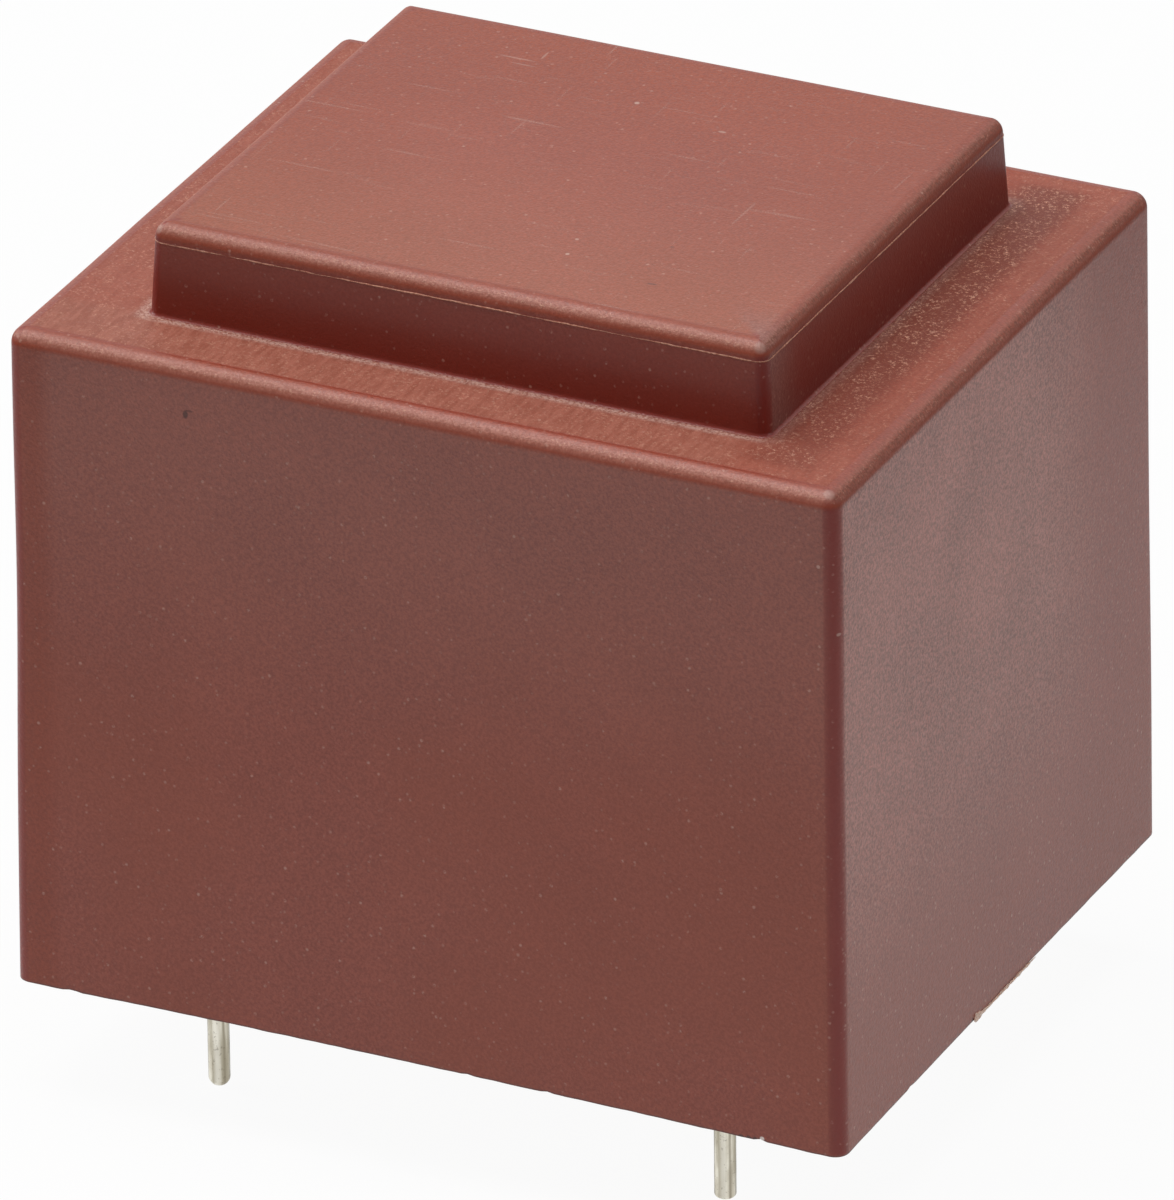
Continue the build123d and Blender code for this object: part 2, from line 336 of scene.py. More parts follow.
def stack_outside():
    """The case's outside, from its rim up over the shelf and the crown."""
    stack = Stack()
    for k in range(4):
        angle = math.radians(30.0 * k)
        inset = RIM_EDGE_RADIUS * (1.0 - math.sin(angle))
        stack.add(
            CASE_HALF_X - inset,
            CASE_HALF_Y - inset,
            CASE_CORNER_RADIUS,
            RIM_EDGE_RADIUS * (1.0 - math.cos(angle)),
            rim=1.0,
        )
    wall_top = SHELF_HEIGHT - SHELF_EDGE_RADIUS
    heights = [0.15 * MM, 0.3 * MM, 0.5 * MM] + list(np.linspace(0.9 * MM, wall_top - 0.1 * MM, 40)) + [wall_top]
    for height in heights:
        inset = height * math.tan(WALL_DRAFT)
        stack.add(CASE_HALF_X - inset, CASE_HALF_Y - inset, CASE_CORNER_RADIUS, height)
    inset = wall_top * math.tan(WALL_DRAFT)
    outer_x, outer_y = stack_edge(
        stack, CASE_HALF_X - inset, CASE_HALF_Y - inset, CASE_CORNER_RADIUS, SHELF_EDGE_RADIUS, wall_top
    )
    inner_x = CROWN_HALF_X + CROWN_ROOT_RADIUS
    inner_y = CROWN_HALF_Y + CROWN_ROOT_RADIUS
    root_corner = CROWN_CORNER_RADIUS + CROWN_ROOT_RADIUS
    shelf_shares = [0.02, 0.05] + list(np.linspace(0.1, 0.8, 11)) + [0.85, 0.89, 0.93, 0.96, 1.0]
    for share in shelf_shares:
        stack.add(
            outer_x + (inner_x - outer_x) * share,
            outer_y + (inner_y - outer_y) * share,
            root_corner * share,
            SHELF_HEIGHT,
            crease=0.6 if share == 0.02 else 0.0,
            root=float(smoothstep(0.86, 0.96, share)),
            shelf=1.0,
            inward=share,
        )
    for k in range(1, 6):
        angle = math.radians(90.0 * k / 5)
        out = CROWN_ROOT_RADIUS * (1.0 - math.sin(angle))
        up = CROWN_ROOT_RADIUS * (1.0 - math.cos(angle))
        inset = up * math.tan(CROWN_DRAFT)
        stack.add(
            CROWN_HALF_X + out - inset,
            CROWN_HALF_Y + out - inset,
            CROWN_CORNER_RADIUS + out,
            SHELF_HEIGHT + up,
            root=0.9 if k < 2 else 0.0,
            foot=1.0,
        )
    crown_wall_top = CROWN_HEIGHT - CROWN_EDGE_RADIUS
    # foot carries the painted shade on the crown's walls, strongest at their foot
    for share in [0.02] + list(np.linspace(0.08, 0.97, 14)) + [1.0]:
        up = CROWN_ROOT_RADIUS + (crown_wall_top - CROWN_ROOT_RADIUS) * share
        inset = up * math.tan(CROWN_DRAFT)
        stack.add(
            CROWN_HALF_X - inset,
            CROWN_HALF_Y - inset,
            CROWN_CORNER_RADIUS,
            SHELF_HEIGHT + up,
            foot=1.0 - 0.55 * share,
        )
    inset = crown_wall_top * math.tan(CROWN_DRAFT)
    top_x, top_y = stack_edge(
        stack,
        CROWN_HALF_X - inset,
        CROWN_HALF_Y - inset,
        CROWN_CORNER_RADIUS,
        CROWN_EDGE_RADIUS,
        SHELF_HEIGHT + crown_wall_top,
    )
    stack.add(top_x - 0.06 * MM, top_y - 0.06 * MM, 0.0, CASE_TOP, crease=0.4)
    stack.add(top_x - 0.14 * MM, top_y - 0.14 * MM, 0.0, CASE_TOP)
    return stack


def stack_inside():
    """The case's inside, from its rim up into the crown."""
    stack = Stack()
    cup_x, cup_y = CASE_HALF_X - WALL_THICKNESS, CASE_HALF_Y - WALL_THICKNESS
    cup_top = SHELF_HEIGHT - ROOF_THICKNESS
    for height in (0.0, 0.05 * MM, 0.4 * MM, 0.2 * cup_top, 0.6 * cup_top, cup_top):
        inset = height * math.tan(WALL_DRAFT)
        stack.add(cup_x - inset, cup_y - inset, CAVITY_CORNER_RADIUS, height)
    pocket_x, pocket_y = CROWN_HALF_X - WALL_THICKNESS, CROWN_HALF_Y - WALL_THICKNESS
    pocket_top = CASE_TOP - ROOF_THICKNESS
    stack.add(pocket_x, pocket_y, CAVITY_CORNER_RADIUS, cup_top)
    inset = (pocket_top - cup_top) * math.tan(CROWN_DRAFT)
    stack.add(pocket_x - inset, pocket_y - inset, CAVITY_CORNER_RADIUS, pocket_top)
    return stack


def build_case(material):
    """The moulded case as one closed shell, with its walls drawn in, nicked and slightly uneven."""
    inside, outside = stack_inside(), stack_outside()
    rings = list(reversed(inside.rings)) + outside.rings
    ring_marks = list(reversed(inside.marks)) + outside.marks
    count = len(rings[0])
    points = [p for level in rings for p in level]
    faces = bridge(rings)
    faces.append(tuple(range(count)))
    last = outside.rings[-1]
    cap_points, cap_faces = grid_cap(max(p[0] for p in last), max(p[1] for p in last), CASE_TOP, len(points))
    points = np.array(points + cap_points)
    faces += cap_faces
    bumps = np.stack([noise_at(points, 0.12, seed) for seed in (3.1, 7.7, 12.9)], axis=1)
    ragged = noise_at(points, 1.6, 21.3) * np.clip(1.0 - points[:, 2] / (0.3 * MM), 0.0, 1.0)
    moved = draw_in(points) + FACE_UNEVENNESS * bumps
    moved[:, 2] += RIM_RAGGEDNESS * ragged
    moved = cut_nicks(moved)

    marks = {}
    for name in ("bead", "under", "crease", "root", "shelf", "inward", "foot", "rim"):
        levels = np.repeat([m.get(name, 0.0) for m in ring_marks], count)
        marks[name] = np.concatenate([levels, np.zeros(len(cap_points))])
    in_corner = np.tile(corner_shares(), len(rings))
    heights = points[: len(in_corner), 2]
    above_rim = heights > RIM_EDGE_RADIUS
    # Painted shade down the rounded upright corners
    corner_shade = in_corner * above_rim * (1.0 - np.repeat([m.get("shelf", 0.0) for m in ring_marks], count))
    marks["corner_shade"] = np.concatenate([corner_shade, np.zeros(len(cap_points))])
    on_right = smoothstep(CROWN_HALF_X - 1.2 * MM, CROWN_HALF_X + 0.4 * MM, points[:, 0])
    on_crown = points[:, 2] > SHELF_HEIGHT + 0.1 * MM
    past_x = points[:, 0] - np.where(on_crown, CROWN_HALF_X, CASE_HALF_X)
    past_y = np.abs(points[:, 1]) - np.where(on_crown, CROWN_HALF_Y, CASE_HALF_Y)
    facing_right = smoothstep(-0.15 * MM, 0.15 * MM, past_x - past_y)
    back_share = smoothstep(-CASE_HALF_Y, 0.1 * CASE_HALF_Y, points[:, 1])
    strip = smoothstep(0.2, 0.5, marks["inward"]) * marks["shelf"]
    marks["top"] = (points[:, 2] > CASE_TOP - 0.01 * MM).astype(float)
    backward = points[:, 1] / CROWN_HALF_Y
    leftward = -points[:, 0] / CROWN_HALF_X
    # Painted shade on the top, towards its back and left
    marks["top_back_shade"] = marks["top"] * np.maximum(smoothstep(-0.7, 1.0, backward), 0.8 * smoothstep(0.2, 0.9, leftward))
    # Painted reflection on the top, towards its front
    marks["top_front_reflection"] = marks["top"] * (1.0 - smoothstep(-1.0, 0.2, backward))
    depth_share = (points[:, 1] + CASE_HALF_Y) / (2.0 * CASE_HALF_Y)
    height_share = points[:, 2] / SHELF_HEIGHT
    on_wall = (points[:, 2] < SHELF_HEIGHT - 0.5 * SHELF_EDGE_RADIUS).astype(float)
    right_wall = on_wall * smoothstep(CASE_HALF_X - 0.5 * MM, CASE_HALF_X - 0.25 * MM, points[:, 0])
    # Painted reflection on the right wall, fading towards its back and its foot
    marks["right_wall_reflection"] = right_wall * (1.0 - smoothstep(0.6, 0.88, depth_share)) * smoothstep(0.1, 0.55, height_share)
    # Painted reflection on the upper part of the walls
    marks["upper_wall_reflection"] = on_wall * (1.0 - right_wall) * smoothstep(0.4, 0.95, height_share)
    # Painted shade on the walls towards their left end
    marks["left_end_shade"] = on_wall * smoothstep(CASE_HALF_X - 2.2 * MM, CASE_HALF_X - 1.2 * MM, -points[:, 0])
    # Painted highlight at the crown's foot, fainter on the right
    marks["root"] = marks["root"] * (1.0 - 0.75 * on_right)
    # Painted shade at the foot of the crown's right wall
    marks["crown_right_shade"] = marks["foot"] * on_right * on_crown
    # Rough strip on the right shelf beside the crown: real coarse grain, its colour darkened as painted shade
    marks["flecks"] = strip * on_right * (0.65 + 0.35 * back_share)
    on_front = smoothstep(CROWN_HALF_Y - 0.8 * MM, CROWN_HALF_Y + 0.3 * MM, -points[:, 1])
    on_left = smoothstep(CROWN_HALF_X - 0.8 * MM, CROWN_HALF_X + 0.3 * MM, -points[:, 0])
    # Painted reflection on the shelf: strongest in front, less on the left and right
    shelf_reflection = np.maximum(on_front, 0.55 * on_left) * (1.0 - 0.5 * on_right)
    marks["shelf_reflection"] = marks["shelf"] * np.maximum(shelf_reflection, 0.4 * on_right * (1.0 - strip))
    # Rounded edges that face right, where shade is painted
    marks["right_edge"] = (marks["bead"] + marks["under"]) * facing_right
    # Painted crease shade, weaker on the edges that face right
    marks["crease"] = marks["crease"] * (1.0 - 0.75 * facing_right)
    # Painted reflection on the crown's right wall, near its front corner
    from_corner = points[:, 1] + CROWN_HALF_Y
    marks["crown_painted_reflection"] = on_crown * facing_right * (1.0 - smoothstep(0.4 * MM, 3.2 * MM, from_corner))
    shell = mesh_object("case_shell", keep_inside(moved), faces, material)
    give_marks(shell, marks)
    return close_seams(shell)


def build_potting_skin(material):
    """The cast face of the potting, creeping down the case's walls and the pins, as a thin closed body."""
    half_x = CASE_HALF_X - WALL_THICKNESS + 0.02 * MM
    half_y = CASE_HALF_Y - WALL_THICKNESS + 0.02 * MM
    columns, rows = 122, 102
    xs, ys = np.linspace(-half_x, half_x, columns), np.linspace(-half_y, half_y, rows)
    flat = np.array([(x, y, 0.0) for y in ys for x in xs])
    to_wall = np.minimum(half_x - np.abs(flat[:, 0]), half_y - np.abs(flat[:, 1]))
    creep = MENISCUS_RISE * np.exp(-to_wall / MENISCUS_REACH)
    for number in PIN_NUMBERS:
        low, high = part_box(f"pin_{number}")
        centre, radius = (low + high) / 2, (high.x - low.x) / 2
        to_pin = np.hypot(flat[:, 0] - centre.x, flat[:, 1] - centre.y) - radius
        creep = np.maximum(creep, 1.3 * MENISCUS_RISE * np.exp(-np.clip(to_pin, 0.0, None) / (0.7 * MENISCUS_REACH)))
    wavy = 0.025 * MM * noise_at(flat, 0.25, 5.5) - 0.02 * MM
    face = flat.copy()
    face[:, 2] = POTTING_LEVEL - creep + np.clip(wavy, -1.0, 0.0)
    back = flat.copy()
    back[:, 2] = POTTING_SKIN_BACK
    count = columns * rows
    faces = []
    for row in range(rows - 1):
        for column in range(columns - 1):
            a = row * columns + column
            quad = (a, a + 1, a + columns + 1, a + columns)
            faces.append(quad)
            faces.append(tuple(count + index for index in reversed(quad)))
    border = [c for c in range(columns)] + [r * columns + columns - 1 for r in range(1, rows)]
    border += [(rows - 1) * columns + c for c in range(columns - 2, -1, -1)]
    border += [r * columns for r in range(rows - 2, 0, -1)]
    for here, after in zip(border, border[1:] + border[:1]):
        faces.append((here, after, count + after, count + here))
    return close_seams(mesh_object("potting_skin", np.concatenate([face, back]), faces, material))


def build_flake(material):
    """A ragged lip of flash along the lower right rim, its front end lifted off."""
    stations = 90
    along = np.linspace(FLAKE_START, FLAKE_END, stations)
    share = np.linspace(0.0, 1.0, stations)
    wiggle = noise_at([(0.0, y, 0.0) for y in along], 2.6, 2.2)
    fine = noise_at([(0.0, y, 0.0) for y in along], 7.0, 8.4)
    ends = np.minimum(1.0, np.minimum(share / 0.02, (1.0 - share) / 0.12))
    lifted = np.exp(-((share / 0.13) ** 2))
    lower = -(0.05 + 0.05 * wiggle + 0.035 * fine + 0.08 * lifted) * MM * ends
    upper = (0.025 + 0.045 * wiggle + 0.04 * fine + 0.2 * lifted) * MM * ends
    outer = CASE_HALF_X - 0.004 * MM
    inner = outer - FLAKE_THICKNESS * (0.55 + 0.45 * ends)
    points = []
    for k in range(stations):
        points += [
            (inner[k], along[k], lower[k]),
            (outer, along[k], lower[k] + 0.012 * MM),
            (outer, along[k], upper[k]),
            (inner[k], along[k], upper[k] + 0.01 * MM),
        ]
    faces = []
    for k in range(stations - 1):
        low, high = 4 * k, 4 * (k + 1)
        for edge in range(4):
            after = (edge + 1) % 4
            faces.append((low + edge, low + after, high + after, high + edge))
    faces.append((0, 1, 2, 3))
    faces.append(tuple(4 * (stations - 1) + edge for edge in (3, 2, 1, 0)))
    return close_seams(mesh_object("rim_flash", keep_inside(np.array(points)), faces, material, smooth=False))


def add_node(tree, kind, inputs=None, **settings):
    """A node with its settings, and each input either set to a value or wired from a socket."""
    node = tree.nodes.new(kind)
    for name, value in settings.items():
        setattr(node, name, value)
    for key, value in (inputs or {}).items():
        if isinstance(value, bpy.types.NodeSocket):
            tree.links.new(value, node.inputs[key])
        else:
            node.inputs[key].default_value = value
    return node


def calculate(tree, operation, first, second=0.0, clamp=False):
    """The result of one sum on two values."""
    return add_node(tree, "ShaderNodeMath", {0: first, 1: second}, operation=operation, use_clamp=clamp).outputs[0]


def ramp(tree, value, low, high, to_low=0.0, to_high=1.0):
    """A value spread smoothly from one range to another."""
    inputs = {"Value": value, "From Min": low, "From Max": high, "To Min": to_low, "To Max": to_high}
    return add_node(tree, "ShaderNodeMapRange", inputs, interpolation_type="SMOOTHSTEP").outputs["Result"]


def blend(tree, share, first, second):
    """One colour turning into another."""
    return add_node(tree, "ShaderNodeMix", {0: share, 6: first, 7: second}, data_type="RGBA").outputs[2]


def rgb(red, green, blue):
    """A colour as a socket takes it."""
    return (red, green, blue, 1.0)


def new_effect(name, outputs, inputs=(("Position", "NodeSocketVector"),)):
    """A shared shader group with a position in millimetres going in and named values coming out."""
    tree = bpy.data.node_groups.new(name, "ShaderNodeTree")
    for label, kind in inputs:
        tree.interface.new_socket(name=label, in_out="INPUT", socket_type=kind)
    for label in outputs:
        tree.interface.new_socket(name=label, in_out="OUTPUT", socket_type="NodeSocketFloat")
    entry = tree.nodes.new("NodeGroupInput")
    leave = tree.nodes.new("NodeGroupOutput")
    return tree, entry.outputs, leave.inputs


def noise_value(tree, position, scale, detail=2.0, roughness=0.5):
    """Plain noise at a position."""
    inputs = {"Vector": position, "Scale": scale, "Detail": detail, "Roughness": roughness}
    return add_node(tree, "ShaderNodeTexNoise", inputs).outputs["Fac"]


def stretched(tree, position, scale, turn=(0.0, 0.0, 0.0)):
    """A position stretched and turned, for streaks."""
    inputs = {"Vector": position, "Scale": scale, "Rotation": turn}
    return add_node(tree, "ShaderNodeMapping", inputs).outputs["Vector"]


def make_blasted_grain():
    """Fine grain that a blasted mould leaves, as a height and a tone."""
    tree, entry, leave = new_effect("blasted_grain", ("Height", "Tone"))
    fine = noise_value(tree, entry["Position"], 11.0, 2.0, 0.6)
    medium = noise_value(tree, entry["Position"], 4.2, 2.0, 0.5)
    height = calculate(tree, "ADD", calculate(tree, "MULTIPLY", fine, 0.65), calculate(tree, "MULTIPLY", medium, 0.35))
    tree.links.new(height, leave["Height"])
    tone = noise_value(tree, stretched(tree, entry["Position"], (1.0, 1.0, 1.0), (0.4, 0.9, 0.2)), 8.5, 2.0, 0.7)
    tree.links.new(ramp(tree, tone, 0.32, 0.68), leave["Tone"])
    return tree


def make_cloudy_tone():
    """Slow changes of tone across a surface."""
    tree, entry, leave = new_effect("cloudy_tone", ("Tone",))
    slow = noise_value(tree, entry["Position"], 0.16, 3.0, 0.55)
    tree.links.new(ramp(tree, slow, 0.34, 0.66), leave["Tone"])
    return tree


def make_light_specks():
    """Sparse pale specks: dust on the potting, small painted glints on the case."""
    tree, entry, leave = new_effect("light_specks", ("Mask",))
    sizes = ((0.9, 0.03, 0.08, 1.0), (2.4, 0.08, 0.21, 1.0), (3.4, 0.1, 0.25, 0.6))
    specks = 0.0
    for scale, inner, outer, strength in sizes:
        cells = add_node(tree, "ShaderNodeTexVoronoi", {"Vector": entry["Position"], "Scale": scale})
        near = ramp(tree, cells.outputs["Distance"], inner, outer, 1.0, 0.0)
        chosen = add_node(tree, "ShaderNodeSeparateColor", {"Color": cells.outputs["Color"]}).outputs["Red"]
        layer = calculate(tree, "MULTIPLY", near, ramp(tree, chosen, 0.35, 1.0, 0.0, strength))
        specks = calculate(tree, "MAXIMUM", layer, specks)
    ragged = ramp(tree, noise_value(tree, entry["Position"], 12.0, 1.0), 0.38, 0.56, 0.15, 1.0)
    specks = calculate(tree, "MULTIPLY", specks, ragged)
    tree.links.new(specks, leave["Mask"])
    return tree


def make_coarse_flecks():
    """Coarse glittering flecks where the mould surface was left rough."""
    tree, entry, leave = new_effect("coarse_flecks", ("Mask", "Height"))
    blobs = noise_value(tree, entry["Position"], 8.0, 3.0, 0.8)
    patches = ramp(tree, noise_value(tree, entry["Position"], 1.1, 2.0), 0.3, 0.6, 0.35, 1.0)
    tree.links.new(calculate(tree, "MULTIPLY", ramp(tree, blobs, 0.52, 0.68), patches), leave["Mask"])
    tree.links.new(blobs, leave["Height"])
    return tree


def make_hairlines():
    """A few faint scratches from handling, in two directions."""
    tree, entry, leave = new_effect("hairlines", ("Mask",))
    along = noise_value(tree, stretched(tree, entry["Position"], (0.22, 9.0, 1.0), (0.0, 0.0, 0.5)), 1.0, 1.0)
    across = noise_value(tree, stretched(tree, entry["Position"], (9.0, 0.3, 1.0), (0.0, 0.0, 0.2)), 1.0, 1.0)
    first = ramp(tree, along, 0.7, 0.75)
    second = ramp(tree, across, 0.74, 0.78)
    tree.links.new(calculate(tree, "MAXIMUM", first, second), leave["Mask"])
    return tree


def make_drawn_streaks():
    """Streaks along a drawn and tinned wire."""
    tree, entry, leave = new_effect("drawn_streaks", ("Streak", "Blotch"))
    long_lines = noise_value(tree, stretched(tree, entry["Position"], (3.2, 3.2, 0.2)), 1.0, 3.0, 0.55)
    tree.links.new(ramp(tree, long_lines, 0.36, 0.64), leave["Streak"])
    blotch = noise_value(tree, stretched(tree, entry["Position"], (2.2, 2.2, 1.1)), 1.0, 3.0, 0.6)
    tree.links.new(ramp(tree, blotch, 0.35, 0.68), leave["Blotch"])
    return tree


def make_wound_turns():
    """Rows of wire turns seen through their enamel or tape, round the vertical axis."""
    inputs = (("Position", "NodeSocketVector"), ("Turns per mm", "NodeSocketFloat"))
    tree, entry, leave = new_effect("wound_turns", ("Height", "Groove"), inputs)
    along = add_node(tree, "ShaderNodeSeparateXYZ", {"Vector": entry["Position"]}).outputs["X"]
    wobble = calculate(tree, "MULTIPLY", noise_value(tree, entry["Position"], 0.6), 0.25)
    phase = calculate(tree, "MULTIPLY", calculate(tree, "ADD", along, wobble), entry["Turns per mm"])
    wave = calculate(tree, "SINE", calculate(tree, "MULTIPLY", phase, 2.0 * math.pi))
    tree.links.new(ramp(tree, wave, -1.0, 1.0), leave["Height"])
    tree.links.new(ramp(tree, wave, -0.6, -1.0), leave["Groove"])
    return tree


class Finish:
    """A material being made: its node tree, its shader and a position in millimetres."""

    def __init__(self, name):
        self.material = bpy.data.materials.new(name)
        self.material.use_nodes = True
        self.tree = self.material.node_tree
        self.shader = self.tree.nodes["Principled BSDF"]
        place = self.tree.nodes.new("ShaderNodeTexCoord").outputs["Object"]
        scale = (1.0 / MM, 1.0 / MM, 1.0 / MM)
        self.position = add_node(self.tree, "ShaderNodeMapping", {"Vector": place, "Scale": scale}).outputs["Vector"]

    def effect(self, group, **values):
        """A shared group placed in this material, reading its position."""
        node = self.tree.nodes.new("ShaderNodeGroup")
        node.node_tree = group
        self.tree.links.new(self.position, node.inputs["Position"])
        for name, value in values.items():
            node.inputs[name.replace("_", " ")].default_value = value
        return node.outputs

    def mark(self, name):
        """A value stored at the piece's own points."""
        return add_node(self.tree, "ShaderNodeAttribute", attribute_name=name).outputs["Fac"]

    def near(self, place, reach):
        """1 close to a place given in millimetres, 0 beyond its reach each way."""
        away = add_node(self.tree, "ShaderNodeVectorMath", {0: self.position, 1: place}, operation="SUBTRACT")
        shares = add_node(self.tree, "ShaderNodeVectorMath", {0: away.outputs[0], 1: reach}, operation="DIVIDE")
        length = add_node(self.tree, "ShaderNodeVectorMath", {0: shares.outputs[0]}, operation="LENGTH")
        return ramp(self.tree, length.outputs["Value"], 0.5, 1.0, 1.0, 0.0)

    def set(self, **values):
        """Constant settings on the shader's own sockets."""
        for name, value in values.items():
            self.shader.inputs[name.replace("_", " ")].default_value = value

    def wire(self, **sockets):
        """Worked-out values wired to the shader."""
        for name, socket in sockets.items():
            self.tree.links.new(socket, self.shader.inputs[name.replace("_", " ")])

    def bump(self, height, distance, strength=1.0):
        """Relief from a height, with its depth in metres."""
        inputs = {"Height": height, "Distance": distance, "Strength": strength}
        bumped = add_node(self.tree, "ShaderNodeBump", inputs)
        self.tree.links.new(bumped.outputs["Normal"], self.shader.inputs["Normal"])


def case_plastic_finish():
    """Red-brown moulded plastic with a blasted grain and a rough shelf, with painted highlights on its rounded edges,
    painted reflections on its top and walls, and painted shade at the crown's foot and corners.
    """
    finish = Finish("case_plastic")
    tree = finish.tree
    grain = finish.effect(blasted_grain)
    cloud = finish.effect(cloudy_tone)
    flecks = finish.effect(coarse_flecks)
    bead, crease, root = finish.mark("bead"), finish.mark("crease"), finish.mark("root")
    corner_shade, right_edge = finish.mark("corner_shade"), finish.mark("right_edge")
    shaded_rough_strip, shelf = finish.mark("flecks"), finish.mark("shelf")
    foot = finish.mark("foot")

    tone = calculate(
        tree, "ADD",
        calculate(tree, "MULTIPLY", grain["Tone"], 0.8),
        calculate(tree, "MULTIPLY", cloud["Tone"], 0.2),
    )
    colour = blend(tree, tone, rgb(0.25, 0.041, 0.02), rgb(0.38, 0.077, 0.041))
    warmth = ramp(tree, noise_value(tree, finish.position, 0.07, 2.0), 0.4, 0.62)
    colour = blend(tree, calculate(tree, "MULTIPLY", warmth, 0.35), colour, rgb(0.29, 0.043, 0.006))
    # Painted shade: the top deeper and darker red towards the back and left
    top_back_shade_share = calculate(tree, "MULTIPLY", finish.mark("top_back_shade"), 0.85)
    colour = blend(tree, top_back_shade_share, colour, blend(tree, tone, rgb(0.24, 0.026, 0.0005), rgb(0.34, 0.046, 0.002)))
    # Painted reflection: the top paler towards the front
    top_front_reflection_share = calculate(tree, "MULTIPLY", finish.mark("top_front_reflection"), 0.5)
    colour = blend(tree, top_front_reflection_share, colour, blend(tree, tone, rgb(0.3, 0.075, 0.02), rgb(0.42, 0.105, 0.045)))
    # Painted reflection: the right wall paler and greyer
    right_wall_reflection_share = calculate(tree, "MULTIPLY", finish.mark("right_wall_reflection"), 0.95)
    colour = blend(tree, right_wall_reflection_share, colour, blend(tree, tone, rgb(0.2, 0.05, 0.03), rgb(0.58, 0.21, 0.16)))
    # Painted reflection: the walls paler towards their top
    upper_wall_reflection_colour = blend(tree, tone, rgb(0.26, 0.073, 0.053), rgb(0.395, 0.112, 0.075))
    colour = blend(tree, finish.mark("upper_wall_reflection"), colour, upper_wall_reflection_colour)
    # Painted shade: the walls darker and deeper red towards their left end
    left_end_shade_share = calculate(tree, "MULTIPLY", finish.mark("left_end_shade"), 0.6)
    colour = blend(tree, left_end_shade_share, colour, blend(tree, tone, rgb(0.235, 0.025, 0.001), rgb(0.315, 0.039, 0.004)))
    # Painted shade: the crown's walls darker and redder towards their foot, as if lit only by the red shelf
    colour = blend(tree, calculate(tree, "MULTIPLY", foot, 0.88), colour, rgb(0.235, 0.011, 0.001))
    # Painted shade: the foot of the crown's right wall darker still
    colour = blend(tree, calculate(tree, "MULTIPLY", finish.mark("crown_right_shade"), 0.8), colour, rgb(0.19, 0.003, 0.0))
    # Painted reflection: a paler, greyer wedge on the crown's right wall behind its front corner
    painted_reflection = calculate(tree, "MULTIPLY", finish.mark("crown_painted_reflection"), 0.7)
    colour = blend(tree, painted_reflection, colour, blend(tree, tone, rgb(0.2, 0.07, 0.055), rgb(0.36, 0.16, 0.13)))
    # Painted reflection: the shelf paler and greyer, in drawn streaks
    drawn = ramp(tree, noise_value(tree, stretched(tree, finish.position, (5.0, 0.9, 0.9)), 1.0, 2.0, 0.6), 0.3, 0.7)
    reflection_colour = blend(tree, drawn, rgb(0.27, 0.075, 0.042), rgb(0.39, 0.135, 0.088))
    colour = blend(tree, calculate(tree, "MULTIPLY", finish.mark("shelf_reflection"), 0.75), colour, reflection_colour)
    # Painted shade: the rounded upright corners darker and redder
    colour = blend(tree, calculate(tree, "MULTIPLY", corner_shade, 0.95), colour, rgb(0.225, 0.008, 0.0))
    # Painted shade: a darker line where each rounded edge meets the level face
    colour = blend(tree, calculate(tree, "MULTIPLY", crease, 0.65), colour, rgb(0.25, 0.03, 0.01))
    # Painted shade: the rounded edges that face right, darker in a mottle
    right_edge_shade = calculate(tree, "MULTIPLY", right_edge, ramp(tree, grain["Tone"], 0.3, 0.7, 0.95, 0.45))
    colour = blend(tree, right_edge_shade, colour, rgb(0.19, 0.042, 0.018))
    # Painted shade: a deeper red band just below the highlight on each rounded edge
    under = calculate(tree, "MULTIPLY", finish.mark("under"), 0.7)
    colour = blend(tree, under, colour, rgb(0.34, 0.042, 0.008))
    # Painted highlight: a pale band along the rounded edges, left off the edges that face right
    highlighted = calculate(tree, "MULTIPLY", bead, ramp(tree, grain["Tone"], 0.0, 1.0, 0.6, 1.0))
    not_right = calculate(tree, "SUBTRACT", 1.0, right_edge, clamp=True)
    right_edge_share = calculate(tree, "MULTIPLY", right_edge, 0.2, clamp=True)
    highlighted = calculate(tree, "MULTIPLY", highlighted, not_right)
    colour = blend(tree, calculate(tree, "MULTIPLY", highlighted, 0.56), colour, rgb(0.62, 0.3, 0.23))
    # Painted shade: the rough strip beside the crown, darker as if shadowed by the crown
    colour = blend(tree, calculate(tree, "MULTIPLY", shaded_rough_strip, 0.85), colour, rgb(0.175, 0.024, 0.006))
    # Painted highlight: a pale, mottled line along the crown's foot on the shelf
    root_highlight = calculate(tree, "MULTIPLY", root, ramp(tree, grain["Tone"], 0.1, 0.8, 0.2, 1.0))
    colour = blend(tree, calculate(tree, "MULTIPLY", root_highlight, 0.75), colour, rgb(0.66, 0.42, 0.35))
    # Painted glints: pale flecks on the rough strip, the shelf and the highlight band
    strength = calculate(tree, "MAXIMUM", shaded_rough_strip, calculate(tree, "MULTIPLY", shelf, 0.38))
    highlight_glints = calculate(tree, "MULTIPLY", bead, calculate(tree, "SUBTRACT", 0.55, right_edge_share))
    strength = calculate(tree, "MAXIMUM", strength, highlight_glints)
    painted_glints = calculate(tree, "MULTIPLY", strength, flecks["Mask"])
    colour = blend(tree, painted_glints, colour, rgb(0.78, 0.43, 0.3))
    # Painted glints: sparse small pale specks
    specks = finish.effect(light_specks)["Mask"]
    colour = blend(tree, calculate(tree, "MULTIPLY", specks, 0.55), colour, rgb(0.58, 0.32, 0.25))
    lines = calculate(tree, "MULTIPLY", finish.effect(hairlines)["Mask"], finish.mark("top"))
    colour = blend(tree, calculate(tree, "MULTIPLY", lines, 0.22), colour, rgb(0.6, 0.35, 0.28))
